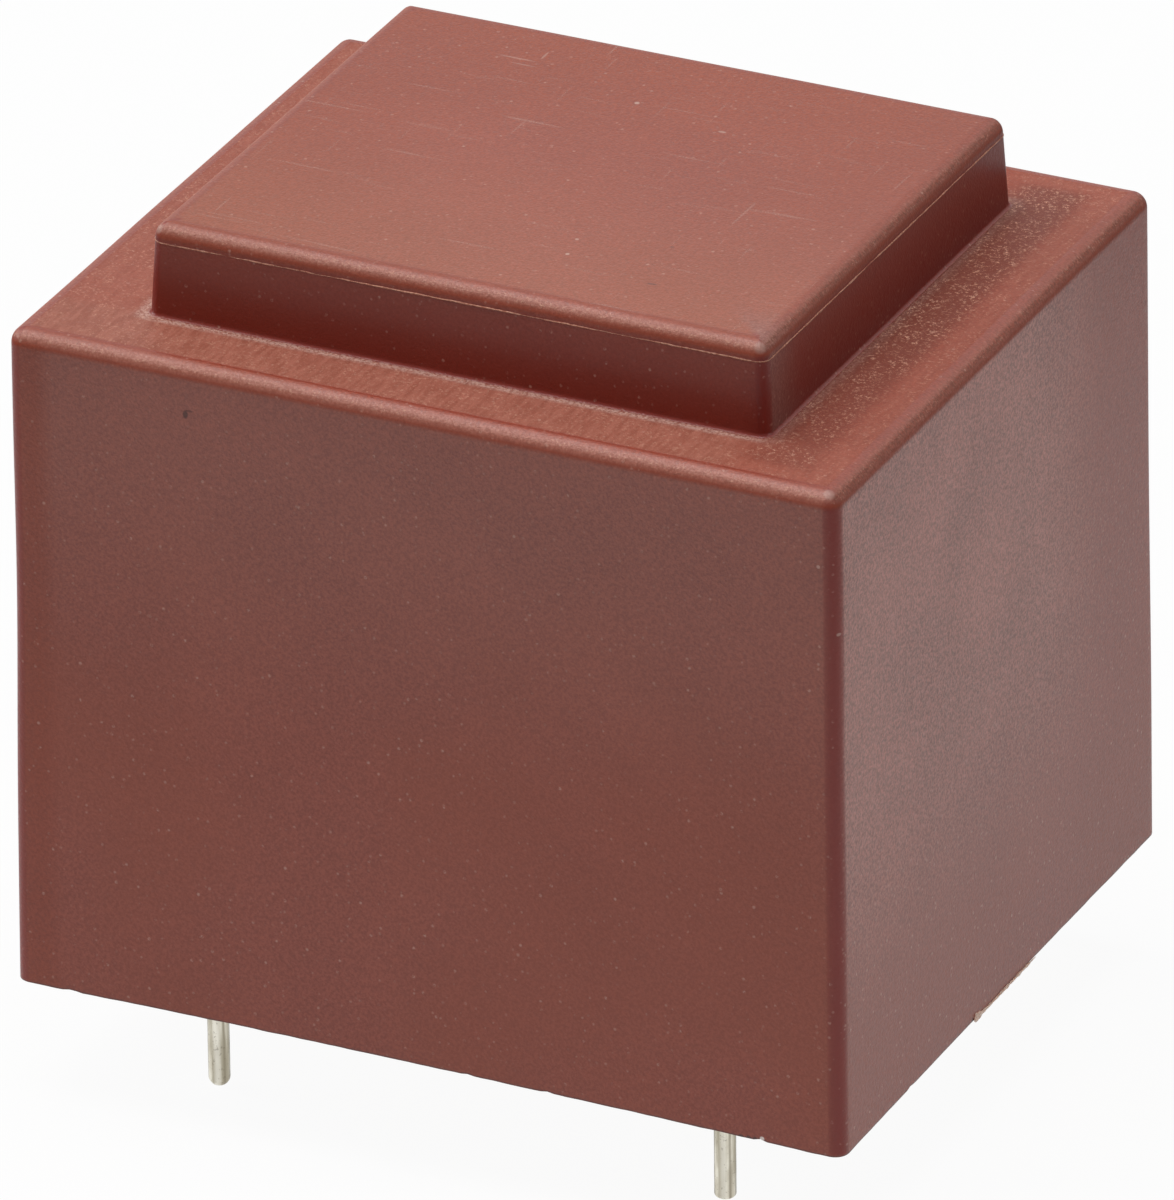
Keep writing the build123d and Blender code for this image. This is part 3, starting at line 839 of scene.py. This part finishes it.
    # The lower rim darker
    darker_rim = ramp(tree, finish.mark("rim"), 0.35, 1.0, 0.0, 0.6)
    colour = blend(tree, darker_rim, colour, DARK)
    for place, reach, paint, amount in CASE_SPOTS:
        colour = blend(tree, calculate(tree, "MULTIPLY", finish.near(place, reach), amount), colour, paint)
    finish.wire(Base_Color=colour)

    rough = ramp(tree, grain["Height"], 0.3, 0.7, 0.29, 0.4)
    rough = calculate(tree, "ADD", rough, calculate(tree, "MULTIPLY", shelf, 0.24))
    rough = calculate(tree, "ADD", rough, calculate(tree, "MULTIPLY", bead, 0.16))
    rough = calculate(tree, "SUBTRACT", rough, calculate(tree, "MULTIPLY", lines, 0.08))
    finish.wire(Roughness=rough)
    finish.set(IOR=1.55)
    lift = calculate(tree, "ADD", 1.0, calculate(tree, "MULTIPLY", bead, 0.3))
    lift = calculate(tree, "ADD", lift, calculate(tree, "MULTIPLY", root, 0.8))
    relief = calculate(tree, "MULTIPLY", grain["Height"], lift)
    coarse = calculate(tree, "MULTIPLY", flecks["Height"], calculate(tree, "MULTIPLY", strength, 2.6))
    finish.bump(calculate(tree, "ADD", relief, coarse), 0.022 * MM)
    return finish.material


def flash_finish():
    """Thin flash of the same plastic, paler where it is torn."""
    finish = Finish("flash_plastic")
    tree = finish.tree
    grain = finish.effect(blasted_grain)
    colour = blend(tree, grain["Tone"], rgb(0.38, 0.115, 0.065), rgb(0.6, 0.3, 0.2))
    finish.wire(Base_Color=colour, Roughness=ramp(tree, grain["Height"], 0.3, 0.7, 0.35, 0.55))
    finish.bump(grain["Height"], 0.01 * MM)
    return finish.material


def torn_flash_finish():
    """The torn lip of flash on the rim, almost bleached."""
    finish = Finish("torn_flash")
    tree = finish.tree
    grain = finish.effect(blasted_grain)
    colour = blend(tree, grain["Tone"], rgb(0.86, 0.5, 0.36), rgb(1.0, 0.84, 0.7))
    finish.wire(Base_Color=colour, Roughness=ramp(tree, grain["Height"], 0.3, 0.7, 0.4, 0.6))
    finish.bump(grain["Height"], 0.012 * MM)
    return finish.material


def potting_finish():
    """Cast red-brown resin, glossy in flow swirls, with a little dust."""
    finish = Finish("potting_resin")
    tree = finish.tree
    cloud = finish.effect(cloudy_tone)
    specks = finish.effect(light_specks)["Mask"]
    swirl = noise_value(tree, stretched(tree, finish.position, (0.35, 0.9, 0.5), (0.0, 0.0, 0.6)), 1.0, 4.0)
    colour = blend(tree, cloud["Tone"], rgb(0.13, 0.03, 0.018), rgb(0.2, 0.05, 0.03))
    colour = blend(tree, ramp(tree, swirl, 0.5, 0.8, 0.0, 0.4), colour, rgb(0.26, 0.08, 0.05))
    colour = blend(tree, calculate(tree, "MULTIPLY", specks, 0.4), colour, rgb(0.5, 0.4, 0.35))
    finish.wire(Base_Color=colour, Roughness=ramp(tree, swirl, 0.3, 0.7, 0.16, 0.34))
    finish.bump(swirl, 0.03 * MM, 0.5)
    return finish.material


def tinned_pin_finish():
    """Dull tin over drawn wire, with grey streaks, a yellowish bloom, and a painted highlight, dark reflection streak
    and shaded edges down its length.
    """
    finish = Finish("tinned_pin")
    tree = finish.tree
    drawn = finish.effect(drawn_streaks)
    grain = finish.effect(blasted_grain)
    colour = blend(tree, drawn["Streak"], rgb(0.44, 0.4, 0.3), rgb(0.95, 0.91, 0.78))
    colour = blend(tree, calculate(tree, "MULTIPLY", drawn["Blotch"], 0.4), colour, rgb(0.5, 0.44, 0.33))
    # Painted light: a pale highlight left of the pin's middle, a dark reflection streak right of it, and darker shaded
    # edges
    across = calculate(tree, "ADD", finish.mark("across"), calculate(tree, "MULTIPLY", drawn["Streak"], 0.1))
    from_painted_highlight = calculate(tree, "ABSOLUTE", calculate(tree, "ADD", across, 0.15))
    colour = blend(tree, ramp(tree, from_painted_highlight, 0.1, 0.5, 0.55, 0.0), colour, rgb(0.98, 0.95, 0.85))
    from_painted_dark_streak = calculate(tree, "ABSOLUTE", calculate(tree, "SUBTRACT", across, 0.5))
    colour = blend(tree, ramp(tree, from_painted_dark_streak, 0.04, 0.16, 0.65, 0.0), colour, rgb(0.3, 0.26, 0.19))
    edge = ramp(tree, calculate(tree, "ABSOLUTE", across), 0.84, 0.99, 0.0, 0.6)
    colour = blend(tree, edge, colour, rgb(0.25, 0.23, 0.19))
    pits = ramp(tree, grain["Height"], 0.34, 0.42, 0.45, 0.0)
    colour = blend(tree, pits, colour, rgb(0.2, 0.17, 0.13))
    finish.wire(Base_Color=colour, Roughness=ramp(tree, drawn["Blotch"], 0.0, 1.0, 0.3, 0.46))
    finish.set(Metallic=1.0)
    relief = calculate(tree, "ADD", drawn["Streak"], calculate(tree, "MULTIPLY", grain["Height"], 0.5))
    finish.bump(relief, 0.01 * MM, 0.7)
    return finish.material


def bobbin_finish():
    """Black glass-filled plastic with grey flow marks."""
    finish = Finish("bobbin_plastic")
    tree = finish.tree
    grain = finish.effect(blasted_grain)
    cloud = finish.effect(cloudy_tone)
    fibres = finish.effect(hairlines)["Mask"]
    colour = blend(tree, cloud["Tone"], rgb(0.018, 0.018, 0.019), rgb(0.045, 0.045, 0.046))
    colour = blend(tree, calculate(tree, "MULTIPLY", fibres, 0.35), colour, rgb(0.2, 0.2, 0.2))
    finish.wire(Base_Color=colour, Roughness=ramp(tree, grain["Height"], 0.3, 0.7, 0.4, 0.58))
    finish.bump(grain["Height"], 0.01 * MM)
    return finish.material


def core_finish():
    """Rolled silicon-steel sheet, blue-grey from annealing, with rolling lines."""
    finish = Finish("core_steel")
    tree = finish.tree
    cloud = finish.effect(cloudy_tone)
    rolling = noise_value(tree, stretched(tree, finish.position, (0.3, 9.0, 9.0)), 1.0, 3.0)
    colour = blend(tree, cloud["Tone"], rgb(0.2, 0.22, 0.27), rgb(0.34, 0.34, 0.35))
    colour = blend(tree, ramp(tree, rolling, 0.45, 0.75, 0.0, 0.5), colour, rgb(0.5, 0.48, 0.45))
    finish.wire(Base_Color=colour, Roughness=ramp(tree, rolling, 0.3, 0.7, 0.3, 0.5))
    finish.set(Metallic=1.0)
    finish.bump(rolling, 0.008 * MM)
    return finish.material


def winding_finish(name, turns_per_mm):
    """A coil of enamelled copper wire, turn beside turn."""
    finish = Finish(name)
    tree = finish.tree
    turns = finish.effect(wound_turns, Turns_per_mm=turns_per_mm)
    cloud = finish.effect(cloudy_tone)
    colour = blend(tree, cloud["Tone"], rgb(0.42, 0.13, 0.04), rgb(0.6, 0.24, 0.08))
    # Painted shade between the turns
    colour = blend(tree, turns["Groove"], colour, rgb(0.08, 0.02, 0.01))
    finish.wire(Base_Color=colour, Roughness=ramp(tree, turns["Height"], 0.0, 1.0, 0.4, 0.22))
    finish.set(Metallic=0.6)
    finish.bump(turns["Height"], 0.05 * MM)
    return finish.material


def lead_finish():
    """Enamelled copper wire, its enamel burnt off in patches."""
    finish = Finish("lead_wire")
    tree = finish.tree
    drawn = finish.effect(drawn_streaks)
    colour = blend(tree, drawn["Streak"], rgb(0.42, 0.13, 0.04), rgb(0.62, 0.26, 0.1))
    colour = blend(tree, calculate(tree, "MULTIPLY", drawn["Blotch"], 0.4), colour, rgb(0.25, 0.1, 0.05))
    finish.wire(Base_Color=colour, Roughness=ramp(tree, drawn["Blotch"], 0.0, 1.0, 0.22, 0.45))
    finish.set(Metallic=0.7)
    finish.bump(drawn["Streak"], 0.006 * MM)
    return finish.material


def tape_finish():
    """Yellow polyester film, drawn tight over the turns below, with small wrinkles."""
    finish = Finish("coil_tape")
    tree = finish.tree
    turns = finish.effect(wound_turns, Turns_per_mm=2.2)
    wrinkle = noise_value(tree, stretched(tree, finish.position, (0.5, 0.5, 1.6)), 1.0, 4.0)
    colour = blend(tree, ramp(tree, wrinkle, 0.35, 0.7), rgb(0.66, 0.4, 0.05), rgb(0.82, 0.58, 0.12))
    # Painted shade over the grooves between the turns below
    colour = blend(tree, calculate(tree, "MULTIPLY", turns["Groove"], 0.25), colour, rgb(0.4, 0.2, 0.03))
    finish.wire(Base_Color=colour, Roughness=ramp(tree, wrinkle, 0.3, 0.7, 0.14, 0.3))
    relief = calculate(tree, "ADD", wrinkle, calculate(tree, "MULTIPLY", turns["Height"], 0.3))
    finish.bump(relief, 0.04 * MM, 0.6)
    return finish.material


def solder_finish():
    """Solder, bright where it wetted and frosted where it cooled last."""
    finish = Finish("solder")
    tree = finish.tree
    grain = finish.effect(blasted_grain)
    frost = noise_value(tree, finish.position, 2.4, 4.0, 0.6)
    colour = blend(tree, ramp(tree, frost, 0.35, 0.7), rgb(0.5, 0.5, 0.5), rgb(0.72, 0.71, 0.69))
    finish.wire(Base_Color=colour, Roughness=ramp(tree, frost, 0.3, 0.7, 0.2, 0.5))
    finish.set(Metallic=1.0)
    finish.bump(grain["Height"], 0.015 * MM)
    return finish.material


def new_shape_tree(name, sizes):
    """A Geometry Nodes tree with a geometry going in and out and named sizes."""
    tree = bpy.data.node_groups.new(name, "GeometryNodeTree")
    tree.is_modifier = True
    tree.interface.new_socket(name="Geometry", in_out="INPUT", socket_type="NodeSocketGeometry")
    for label, kind in sizes:
        tree.interface.new_socket(name=label, in_out="INPUT", socket_type=kind)
    tree.interface.new_socket(name="Geometry", in_out="OUTPUT", socket_type="NodeSocketGeometry")
    entry = tree.nodes.new("NodeGroupInput")
    leave = tree.nodes.new("NodeGroupOutput")
    return tree, entry.outputs, leave.inputs["Geometry"]


def finish_shape(tree, geometry, material, leave):
    """End a tree: instances made real, then the material."""
    real = add_node(tree, "GeometryNodeRealizeInstances", {0: geometry}).outputs[0]
    smooth = add_node(tree, "GeometryNodeSetShadeSmooth", {"Geometry": real}).outputs[0]
    painted = add_node(tree, "GeometryNodeSetMaterial", {"Geometry": smooth, "Material": material})
    tree.links.new(painted.outputs[0], leave)


def grow(name, tree, **sizes):
    """A plain mesh object from a tree with its sizes set."""
    piece = link(bpy.data.objects.new(name, bpy.data.meshes.new(name)))
    modifier = piece.modifiers.new("shape", "NODES")
    modifier.node_group = tree
    for item in tree.interface.items_tree:
        if item.item_type == "SOCKET" and item.in_out == "INPUT" and item.name in sizes:
            modifier[item.identifier] = sizes[item.name]
    graph = bpy.context.evaluated_depsgraph_get()
    data = bpy.data.meshes.new_from_object(piece.evaluated_get(graph))
    piece.modifiers.clear()
    piece.data = data
    data.name = name
    for index in reversed(range(len(data.materials))):
        if data.materials[index] is None:
            data.materials.pop(index=index)
    return piece


def make_pin_tree(material):
    """A tinned pin: a round free end turned along its own radius, and the square shank above it."""
    sizes = (
        ("Radius", "NodeSocketFloat"),
        ("Tip Level", "NodeSocketFloat"),
        ("Round Top", "NodeSocketFloat"),
        ("Tip Height", "NodeSocketFloat"),
        ("Tip Bluntness", "NodeSocketFloat"),
        ("Shank Side", "NodeSocketFloat"),
        ("Shank Top", "NodeSocketFloat"),
        ("Place", "NodeSocketVector"),
        ("Seed", "NodeSocketFloat"),
    )
    tree, entry, leave = new_shape_tree("tinned_pin_shape", sizes)
    start = add_node(tree, "ShaderNodeCombineXYZ", {"Z": entry["Tip Level"]}).outputs[0]
    end = add_node(tree, "ShaderNodeCombineXYZ", {"Z": entry["Round Top"]}).outputs[0]
    line = add_node(tree, "GeometryNodeCurvePrimitiveLine", {"Start": start, "End": end}).outputs[0]
    path = add_node(tree, "GeometryNodeResampleCurve", {"Curve": line, "Count": 240}, mode="COUNT").outputs[0]
    where = tree.nodes.new("GeometryNodeInputPosition").outputs[0]
    height = add_node(tree, "ShaderNodeSeparateXYZ", {"Vector": where}).outputs["Z"]
    from_tip = calculate(tree, "ADD", calculate(tree, "SUBTRACT", height, entry["Tip Level"]), 0.003 * MM)
    share = calculate(tree, "DIVIDE", from_tip, entry["Tip Height"], clamp=True)
    missing = calculate(tree, "SUBTRACT", 1.0, share)
    dome = calculate(tree, "SQRT", calculate(tree, "SUBTRACT", 1.0, calculate(tree, "MULTIPLY", missing, missing)))
    open_share = calculate(tree, "SUBTRACT", 1.0, entry["Tip Bluntness"])
    dome = calculate(tree, "ADD", calculate(tree, "MULTIPLY", dome, open_share), entry["Tip Bluntness"])
    wave = add_node(
        tree, "ShaderNodeTexNoise", {"Vector": where, "W": entry["Seed"], "Scale": 900.0}, noise_dimensions="4D"
    ).outputs["Fac"]
    uneven = ramp(tree, wave, 0.3, 0.7, 0.985, 1.0)
    radius = calculate(tree, "MULTIPLY", calculate(tree, "MULTIPLY", entry["Radius"], dome), uneven)
    circle = add_node(tree, "GeometryNodeCurvePrimitiveCircle", {"Resolution": 44, "Radius": 1.0}).outputs[0]
    swept = {"Curve": path, "Profile Curve": circle, "Scale": radius, "Fill Caps": True}
    body = add_node(tree, "GeometryNodeCurveToMesh", swept).outputs[0]
    # Where each point lies across the pin, for its painted highlight and shade
    sideways = add_node(tree, "ShaderNodeVectorMath", {0: where, 1: PIN_PAINTED_LIGHT_SIDE}, operation="DOT_PRODUCT")
    across = calculate(tree, "DIVIDE", sideways.outputs["Value"], entry["Radius"])
    stored = {"Geometry": body, "Name": "across", "Value": across}
    body = add_node(tree, "GeometryNodeStoreNamedAttribute", stored).outputs[0]
    shank_foot = calculate(tree, "SUBTRACT", entry["Round Top"], 0.1 * MM)
    shank_length = calculate(tree, "SUBTRACT", entry["Shank Top"], shank_foot)
    size = add_node(
        tree, "ShaderNodeCombineXYZ", {"X": entry["Shank Side"], "Y": entry["Shank Side"], "Z": shank_length}
    ).outputs[0]
    bar = add_node(tree, "GeometryNodeMeshCube", {"Size": size, "Vertices Z": 12}).outputs["Mesh"]
    middle = calculate(tree, "DIVIDE", calculate(tree, "ADD", shank_foot, entry["Shank Top"]), 2.0)
    raised = add_node(tree, "ShaderNodeCombineXYZ", {"Z": middle}).outputs[0]
    bar = add_node(tree, "GeometryNodeTransform", {"Geometry": bar, "Translation": raised}).outputs[0]
    join = tree.nodes.new("GeometryNodeJoinGeometry")
    tree.links.new(body, join.inputs[0])
    tree.links.new(bar, join.inputs[0])
    placed = add_node(
        tree, "GeometryNodeTransform", {"Geometry": join.outputs[0], "Translation": entry["Place"]}
    ).outputs[0]
    finish_shape(tree, placed, material, leave)
    return tree


def make_parting_tree(material):
    """The thin raised line where the mould's two halves met, wandering and thinning out round the crown."""
    sizes = (
        ("Length", "NodeSocketFloat"),
        ("Depth", "NodeSocketFloat"),
        ("Corner Radius", "NodeSocketFloat"),
        ("Level", "NodeSocketFloat"),
        ("Line Radius", "NodeSocketFloat"),
        ("Wander", "NodeSocketFloat"),
        ("Seed", "NodeSocketFloat"),
    )
    tree, entry, leave = new_shape_tree("parting_line_shape", sizes)
    frame_curve = add_node(
        tree, "GeometryNodeCurvePrimitiveQuadrilateral", {"Width": entry["Length"], "Height": entry["Depth"]}
    ).outputs[0]
    rounded = add_node(
        tree,
        "GeometryNodeFilletCurve",
        {"Curve": frame_curve, "Count": 8, "Radius": entry["Corner Radius"]},
        mode="POLY",
    ).outputs[0]
    path = add_node(tree, "GeometryNodeResampleCurve", {"Curve": rounded, "Length": 0.09 * MM}, mode="LENGTH").outputs[0]
    where = tree.nodes.new("GeometryNodeInputPosition").outputs[0]
    slow = add_node(
        tree, "ShaderNodeTexNoise", {"Vector": where, "W": entry["Seed"], "Scale": 420.0}, noise_dimensions="4D"
    ).outputs["Fac"]
    quick = add_node(
        tree, "ShaderNodeTexNoise", {"Vector": where, "W": entry["Seed"], "Scale": 2600.0}, noise_dimensions="4D"
    ).outputs["Fac"]
    sway = calculate(tree, "MULTIPLY", calculate(tree, "SUBTRACT", slow, 0.5), entry["Wander"])
    jitter = calculate(tree, "MULTIPLY", calculate(tree, "SUBTRACT", quick, 0.5), entry["Wander"])
    rise = calculate(tree, "ADD", calculate(tree, "ADD", sway, jitter), entry["Level"])
    offset = add_node(tree, "ShaderNodeCombineXYZ", {"Z": rise}).outputs[0]
    moved = add_node(tree, "GeometryNodeSetPosition", {"Geometry": path, "Offset": offset}).outputs[0]
    thinning = ramp(tree, slow, 0.36, 0.5, 0.35, 1.0)
    beading = ramp(tree, quick, 0.3, 0.7, 0.75, 1.3)
    radius = calculate(tree, "MULTIPLY", entry["Line Radius"], calculate(tree, "MULTIPLY", thinning, beading))
    circle = add_node(tree, "GeometryNodeCurvePrimitiveCircle", {"Resolution": 8, "Radius": 1.0}).outputs[0]
    swept = {"Curve": moved, "Profile Curve": circle, "Scale": radius}
    body = add_node(tree, "GeometryNodeCurveToMesh", swept).outputs[0]
    finish_shape(tree, body, material, leave)
    return tree


def add_camera():
    """The camera at the photograph's viewing angle."""
    azimuth, elevation, roll = CAMERA_AZIMUTH, CAMERA_ELEVATION, CAMERA_ROLL
    level = math.cos(elevation)
    forward = Vector((-math.sin(azimuth) * level, math.cos(azimuth) * level, -math.sin(elevation)))
    right = Vector((math.cos(azimuth), math.sin(azimuth), 0.0))
    up = right.cross(forward)
    rolled_right = right * math.cos(roll) + up * math.sin(roll)
    rolled_up = up * math.cos(roll) - right * math.sin(roll)
    data = bpy.data.cameras.new("camera")
    data.lens = CAMERA_LENS
    data.sensor_width = CAMERA_SENSOR
    data.sensor_fit = "AUTO"
    data.clip_start = 0.01
    data.clip_end = 10.0
    camera = link(bpy.data.objects.new("camera", data))
    turn = Matrix((rolled_right, rolled_up, -forward)).transposed()
    camera.matrix_world = Matrix.Translation(CAMERA_TARGET - forward * CAMERA_DISTANCE) @ turn.to_4x4()
    bpy.context.scene.camera = camera


def add_soft_box(name, place, side, watts):
    """A square soft box at a place, aimed at the object."""
    data = bpy.data.lights.new(name, "AREA")
    data.shape = "SQUARE"
    data.size = side
    data.energy = watts
    light = link(bpy.data.objects.new(name, data))
    light.location = place
    light.rotation_mode = "QUATERNION"
    light.rotation_quaternion = (CAMERA_TARGET - Vector(place)).to_track_quat("-Z", "Y")


def add_world():
    """White surroundings for the camera, a paler side behind the object for reflections, little for the rest."""
    world = bpy.data.worlds.new("studio")
    world.use_nodes = True
    bpy.context.scene.world = world
    tree = world.node_tree
    background = tree.nodes["Background"]
    paths = tree.nodes.new("ShaderNodeLightPath")
    way = tree.nodes.new("ShaderNodeTexCoord").outputs["Generated"]
    backdrop = add_node(
        tree, "ShaderNodeVectorMath", {0: way, 1: BACKDROP_SIDE}, operation="DOT_PRODUCT"
    ).outputs["Value"]
    mirrored = ramp(tree, backdrop, 0.4, 0.9, FRONT_GLOW, BACKDROP_GLOW)
    mirrored_part = calculate(tree, "MULTIPLY", paths.outputs["Is Glossy Ray"], mirrored)
    seen = calculate(tree, "MAXIMUM", paths.outputs["Is Camera Ray"], paths.outputs["Is Transmission Ray"])
    strength = calculate(tree, "MAXIMUM", calculate(tree, "MAXIMUM", seen, mirrored_part), AMBIENT)
    tree.links.new(strength, background.inputs["Strength"])
    background.inputs["Color"].default_value = rgb(1.0, 1.0, 1.0)


def add_floor():
    """A plain white floor that keeps the object's shadow, falls off to shade far away and is clear from below."""
    half = 3.0
    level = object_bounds()[0].z
    points = [(-half, -half, level), (half, -half, level), (half, half, level), (-half, half, level)]
    data = bpy.data.meshes.new("floor")
    data.from_pydata(points, [], [(0, 1, 2, 3)])
    floor = link(bpy.data.objects.new("floor", data))
    material = bpy.data.materials.new("floor_paper")
    material.use_nodes = True
    tree = material.node_tree
    tree.nodes.clear()
    output = tree.nodes.new("ShaderNodeOutputMaterial")
    paper = add_node(tree, "ShaderNodeBsdfDiffuse", {"Color": rgb(0.86, 0.86, 0.86)})
    glow = tree.nodes.new("ShaderNodeEmission")
    place = tree.nodes.new("ShaderNodeTexCoord").outputs["Object"]
    away = add_node(tree, "ShaderNodeVectorMath", {0: place}, operation="LENGTH").outputs["Value"]
    paths = tree.nodes.new("ShaderNodeLightPath")
    far = ramp(tree, away, 0.072, 0.11, NEAR_FLOOR_GLOW, FAR_FLOOR_GLOW)
    camera_ray = paths.outputs["Is Camera Ray"]
    strength = calculate(tree, "MAXIMUM", camera_ray, far)
    tree.links.new(strength, glow.inputs["Strength"])
    seen = calculate(tree, "MAXIMUM", camera_ray, paths.outputs["Is Glossy Ray"])
    share = ramp(tree, seen, 0.0, 1.0, FLOOR_BOUNCE_SHARE, FLOOR_GLOW_SHARE)
    mix = add_node(tree, "ShaderNodeMixShader", {"Fac": share, 1: paper.outputs[0], 2: glow.outputs[0]})
    from_below = tree.nodes.new("ShaderNodeNewGeometry").outputs["Backfacing"]
    clear = tree.nodes.new("ShaderNodeBsdfTransparent")
    sheet = add_node(tree, "ShaderNodeMixShader", {"Fac": from_below, 1: mix.outputs[0], 2: clear.outputs[0]})
    tree.links.new(sheet.outputs[0], output.inputs["Surface"])
    data.materials.append(material)


# Small marks on the case: place and reach each way in millimetres, colour and amount
PALE = rgb(0.62, 0.4, 0.33)
DARK = rgb(0.05, 0.013, 0.01)
CHIPPED = rgb(0.95, 0.85, 0.78)
CASE_SPOTS = (
    # Painted shade of a small pit on the front wall, in two spots
    ((-9.0, -13.45, 23.9), (0.13, 0.3, 0.2), DARK, 0.75),
    ((-8.84, -13.45, 24.06), (0.2, 0.3, 0.06), DARK, 0.5),
    ((15.35, -13.45, 23.0), (0.09, 0.2, 0.09), PALE, 0.6),
    ((16.0, -13.2, 20.4), (0.08, 0.2, 0.08), PALE, 0.6),
    # Worn corners, paler with a painted highlight: crown front left, crown front right, shelf front right
    ((-11.72, -10.05, 29.14), (0.3, 0.3, 0.3), PALE, 0.45),
    ((11.6, -10.02, 29.14), (0.3, 0.3, 0.3), PALE, 0.35),
    ((15.62, -13.1, 25.7), (0.26, 0.26, 0.26), PALE, 0.35),
    ((12.3, -13.6, 0.02), (0.13, 0.3, 0.13), DARK, 0.75),
    ((12.6, -13.6, 0.02), (0.13, 0.3, 0.13), DARK, 0.8),
    ((12.85, -13.6, 0.04), (0.12, 0.3, 0.12), DARK, 0.8),
    ((13.12, -13.6, 0.12), (0.11, 0.3, 0.11), CHIPPED, 0.95),
    # Painted shadow under the lifted front end of the rim flake
    ((16.25, -2.5, 0.06), (0.4, 0.12, 0.16), DARK, 0.9),
    ((-5.2, 7.9, 29.3), (0.06, 0.4, 0.2), PALE, 0.35),
    ((-6.0, 7.3, 29.3), (0.9, 0.06, 0.2), PALE, 0.35),
    ((-5.6, 6.9, 29.3), (0.6, 0.05, 0.2), PALE, 0.3),
    ((-0.52, 5.68, 29.3), (0.12, 0.12, 0.2), PALE, 0.7),
    ((3.25, 4.75, 29.3), (0.2, 0.09, 0.2), PALE, 0.5),
    ((6.21, -7.35, 29.3), (0.25, 0.09, 0.2), DARK, 0.55),
    ((5.6, -4.4, 29.3), (0.1, 0.1, 0.2), DARK, 0.4),
    ((2.5, -6.4, 29.3), (0.1, 0.1, 0.2), PALE, 0.75),
    ((2.3, -5.2, 29.3), (0.09, 0.09, 0.2), PALE, 0.6),
)
BACKDROP_SIDE = (-0.15, 0.65, 0.75)
BACKDROP_GLOW = 1.0
FRONT_GLOW = 0.5
NEAR_FLOOR_GLOW = 0.88
FAR_FLOOR_GLOW = 0.2
FLOOR_GLOW_SHARE = 0.95
FLOOR_BOUNCE_SHARE = 0.12

blasted_grain = make_blasted_grain()
cloudy_tone = make_cloudy_tone()
light_specks = make_light_specks()
coarse_flecks = make_coarse_flecks()
hairlines = make_hairlines()
drawn_streaks = make_drawn_streaks()
wound_turns = make_wound_turns()

case_plastic = case_plastic_finish()
potting_resin = potting_finish()
tinned_pin = tinned_pin_finish()

case_shell = build_case(case_plastic)
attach(case_shell, "root")
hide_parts("case")

crown_inset = (CROWN_HEIGHT - PARTING_DEPTH) * math.tan(CROWN_DRAFT)
parting_line = grow(
    "parting_line",
    make_parting_tree(flash_finish()),
    **{
        "Length": 2.0 * (CROWN_HALF_X - crown_inset),
        "Depth": 2.0 * (CROWN_HALF_Y - crown_inset),
        "Corner Radius": CROWN_CORNER_RADIUS,
        "Level": CASE_TOP - PARTING_DEPTH,
        "Line Radius": PARTING_RADIUS,
        "Wander": PARTING_WANDER,
        "Seed": 4.0,
    },
)
rim_flash = build_flake(torn_flash_finish())
for piece in (parting_line, rim_flash):
    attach(piece, "root")

potting_skin = build_potting_skin(potting_resin)
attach(potting_skin, "root")

pin_tree = make_pin_tree(tinned_pin)
for number in PIN_NUMBERS:
    low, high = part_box(f"pin_{number}")
    tip_height, bluntness = PIN_TIPS[number]
    pin = grow(
        f"pin_{number}_tinned",
        pin_tree,
        **{
            "Radius": (high.x - low.x) / 2,
            "Tip Level": low.z,
            "Round Top": PIN_ROUND_TOP,
            "Tip Height": tip_height,
            "Tip Bluntness": bluntness,
            "Shank Side": PIN_SHANK_SIDE,
            "Shank Top": high.z,
            "Place": ((low.x + high.x) / 2, (low.y + high.y) / 2, 0.0),
            "Seed": float(number),
        },
    )
    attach(pin, "root")
    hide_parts(f"pin_{number}")

core_steel = core_finish()
coil_tape = tape_finish()
finishes = {
    "case": case_plastic,
    "potting": potting_resin,
    "bobbin": bobbin_finish(),
    "primary_winding": winding_finish("primary_wire", 4.5),
    "secondary_winding_inner": winding_finish("secondary_wire", 2.2),
    "secondary_winding_outer": bpy.data.materials["secondary_wire"],
    "sheets": core_steel,
    "tape": coil_tape,
    "lead": lead_finish(),
    "solder_joint": solder_finish(),
    "pin": tinned_pin,
}
for name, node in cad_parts.items():
    for part, material in finishes.items():
        if part in name:
            node.data.materials.clear()
            node.data.materials.append(material)
            break

add_camera()
add_floor()
add_world()
for soft_box in SOFT_BOXES:
    add_soft_box(*soft_box)

bpy.context.scene.view_settings.view_transform = "Standard"
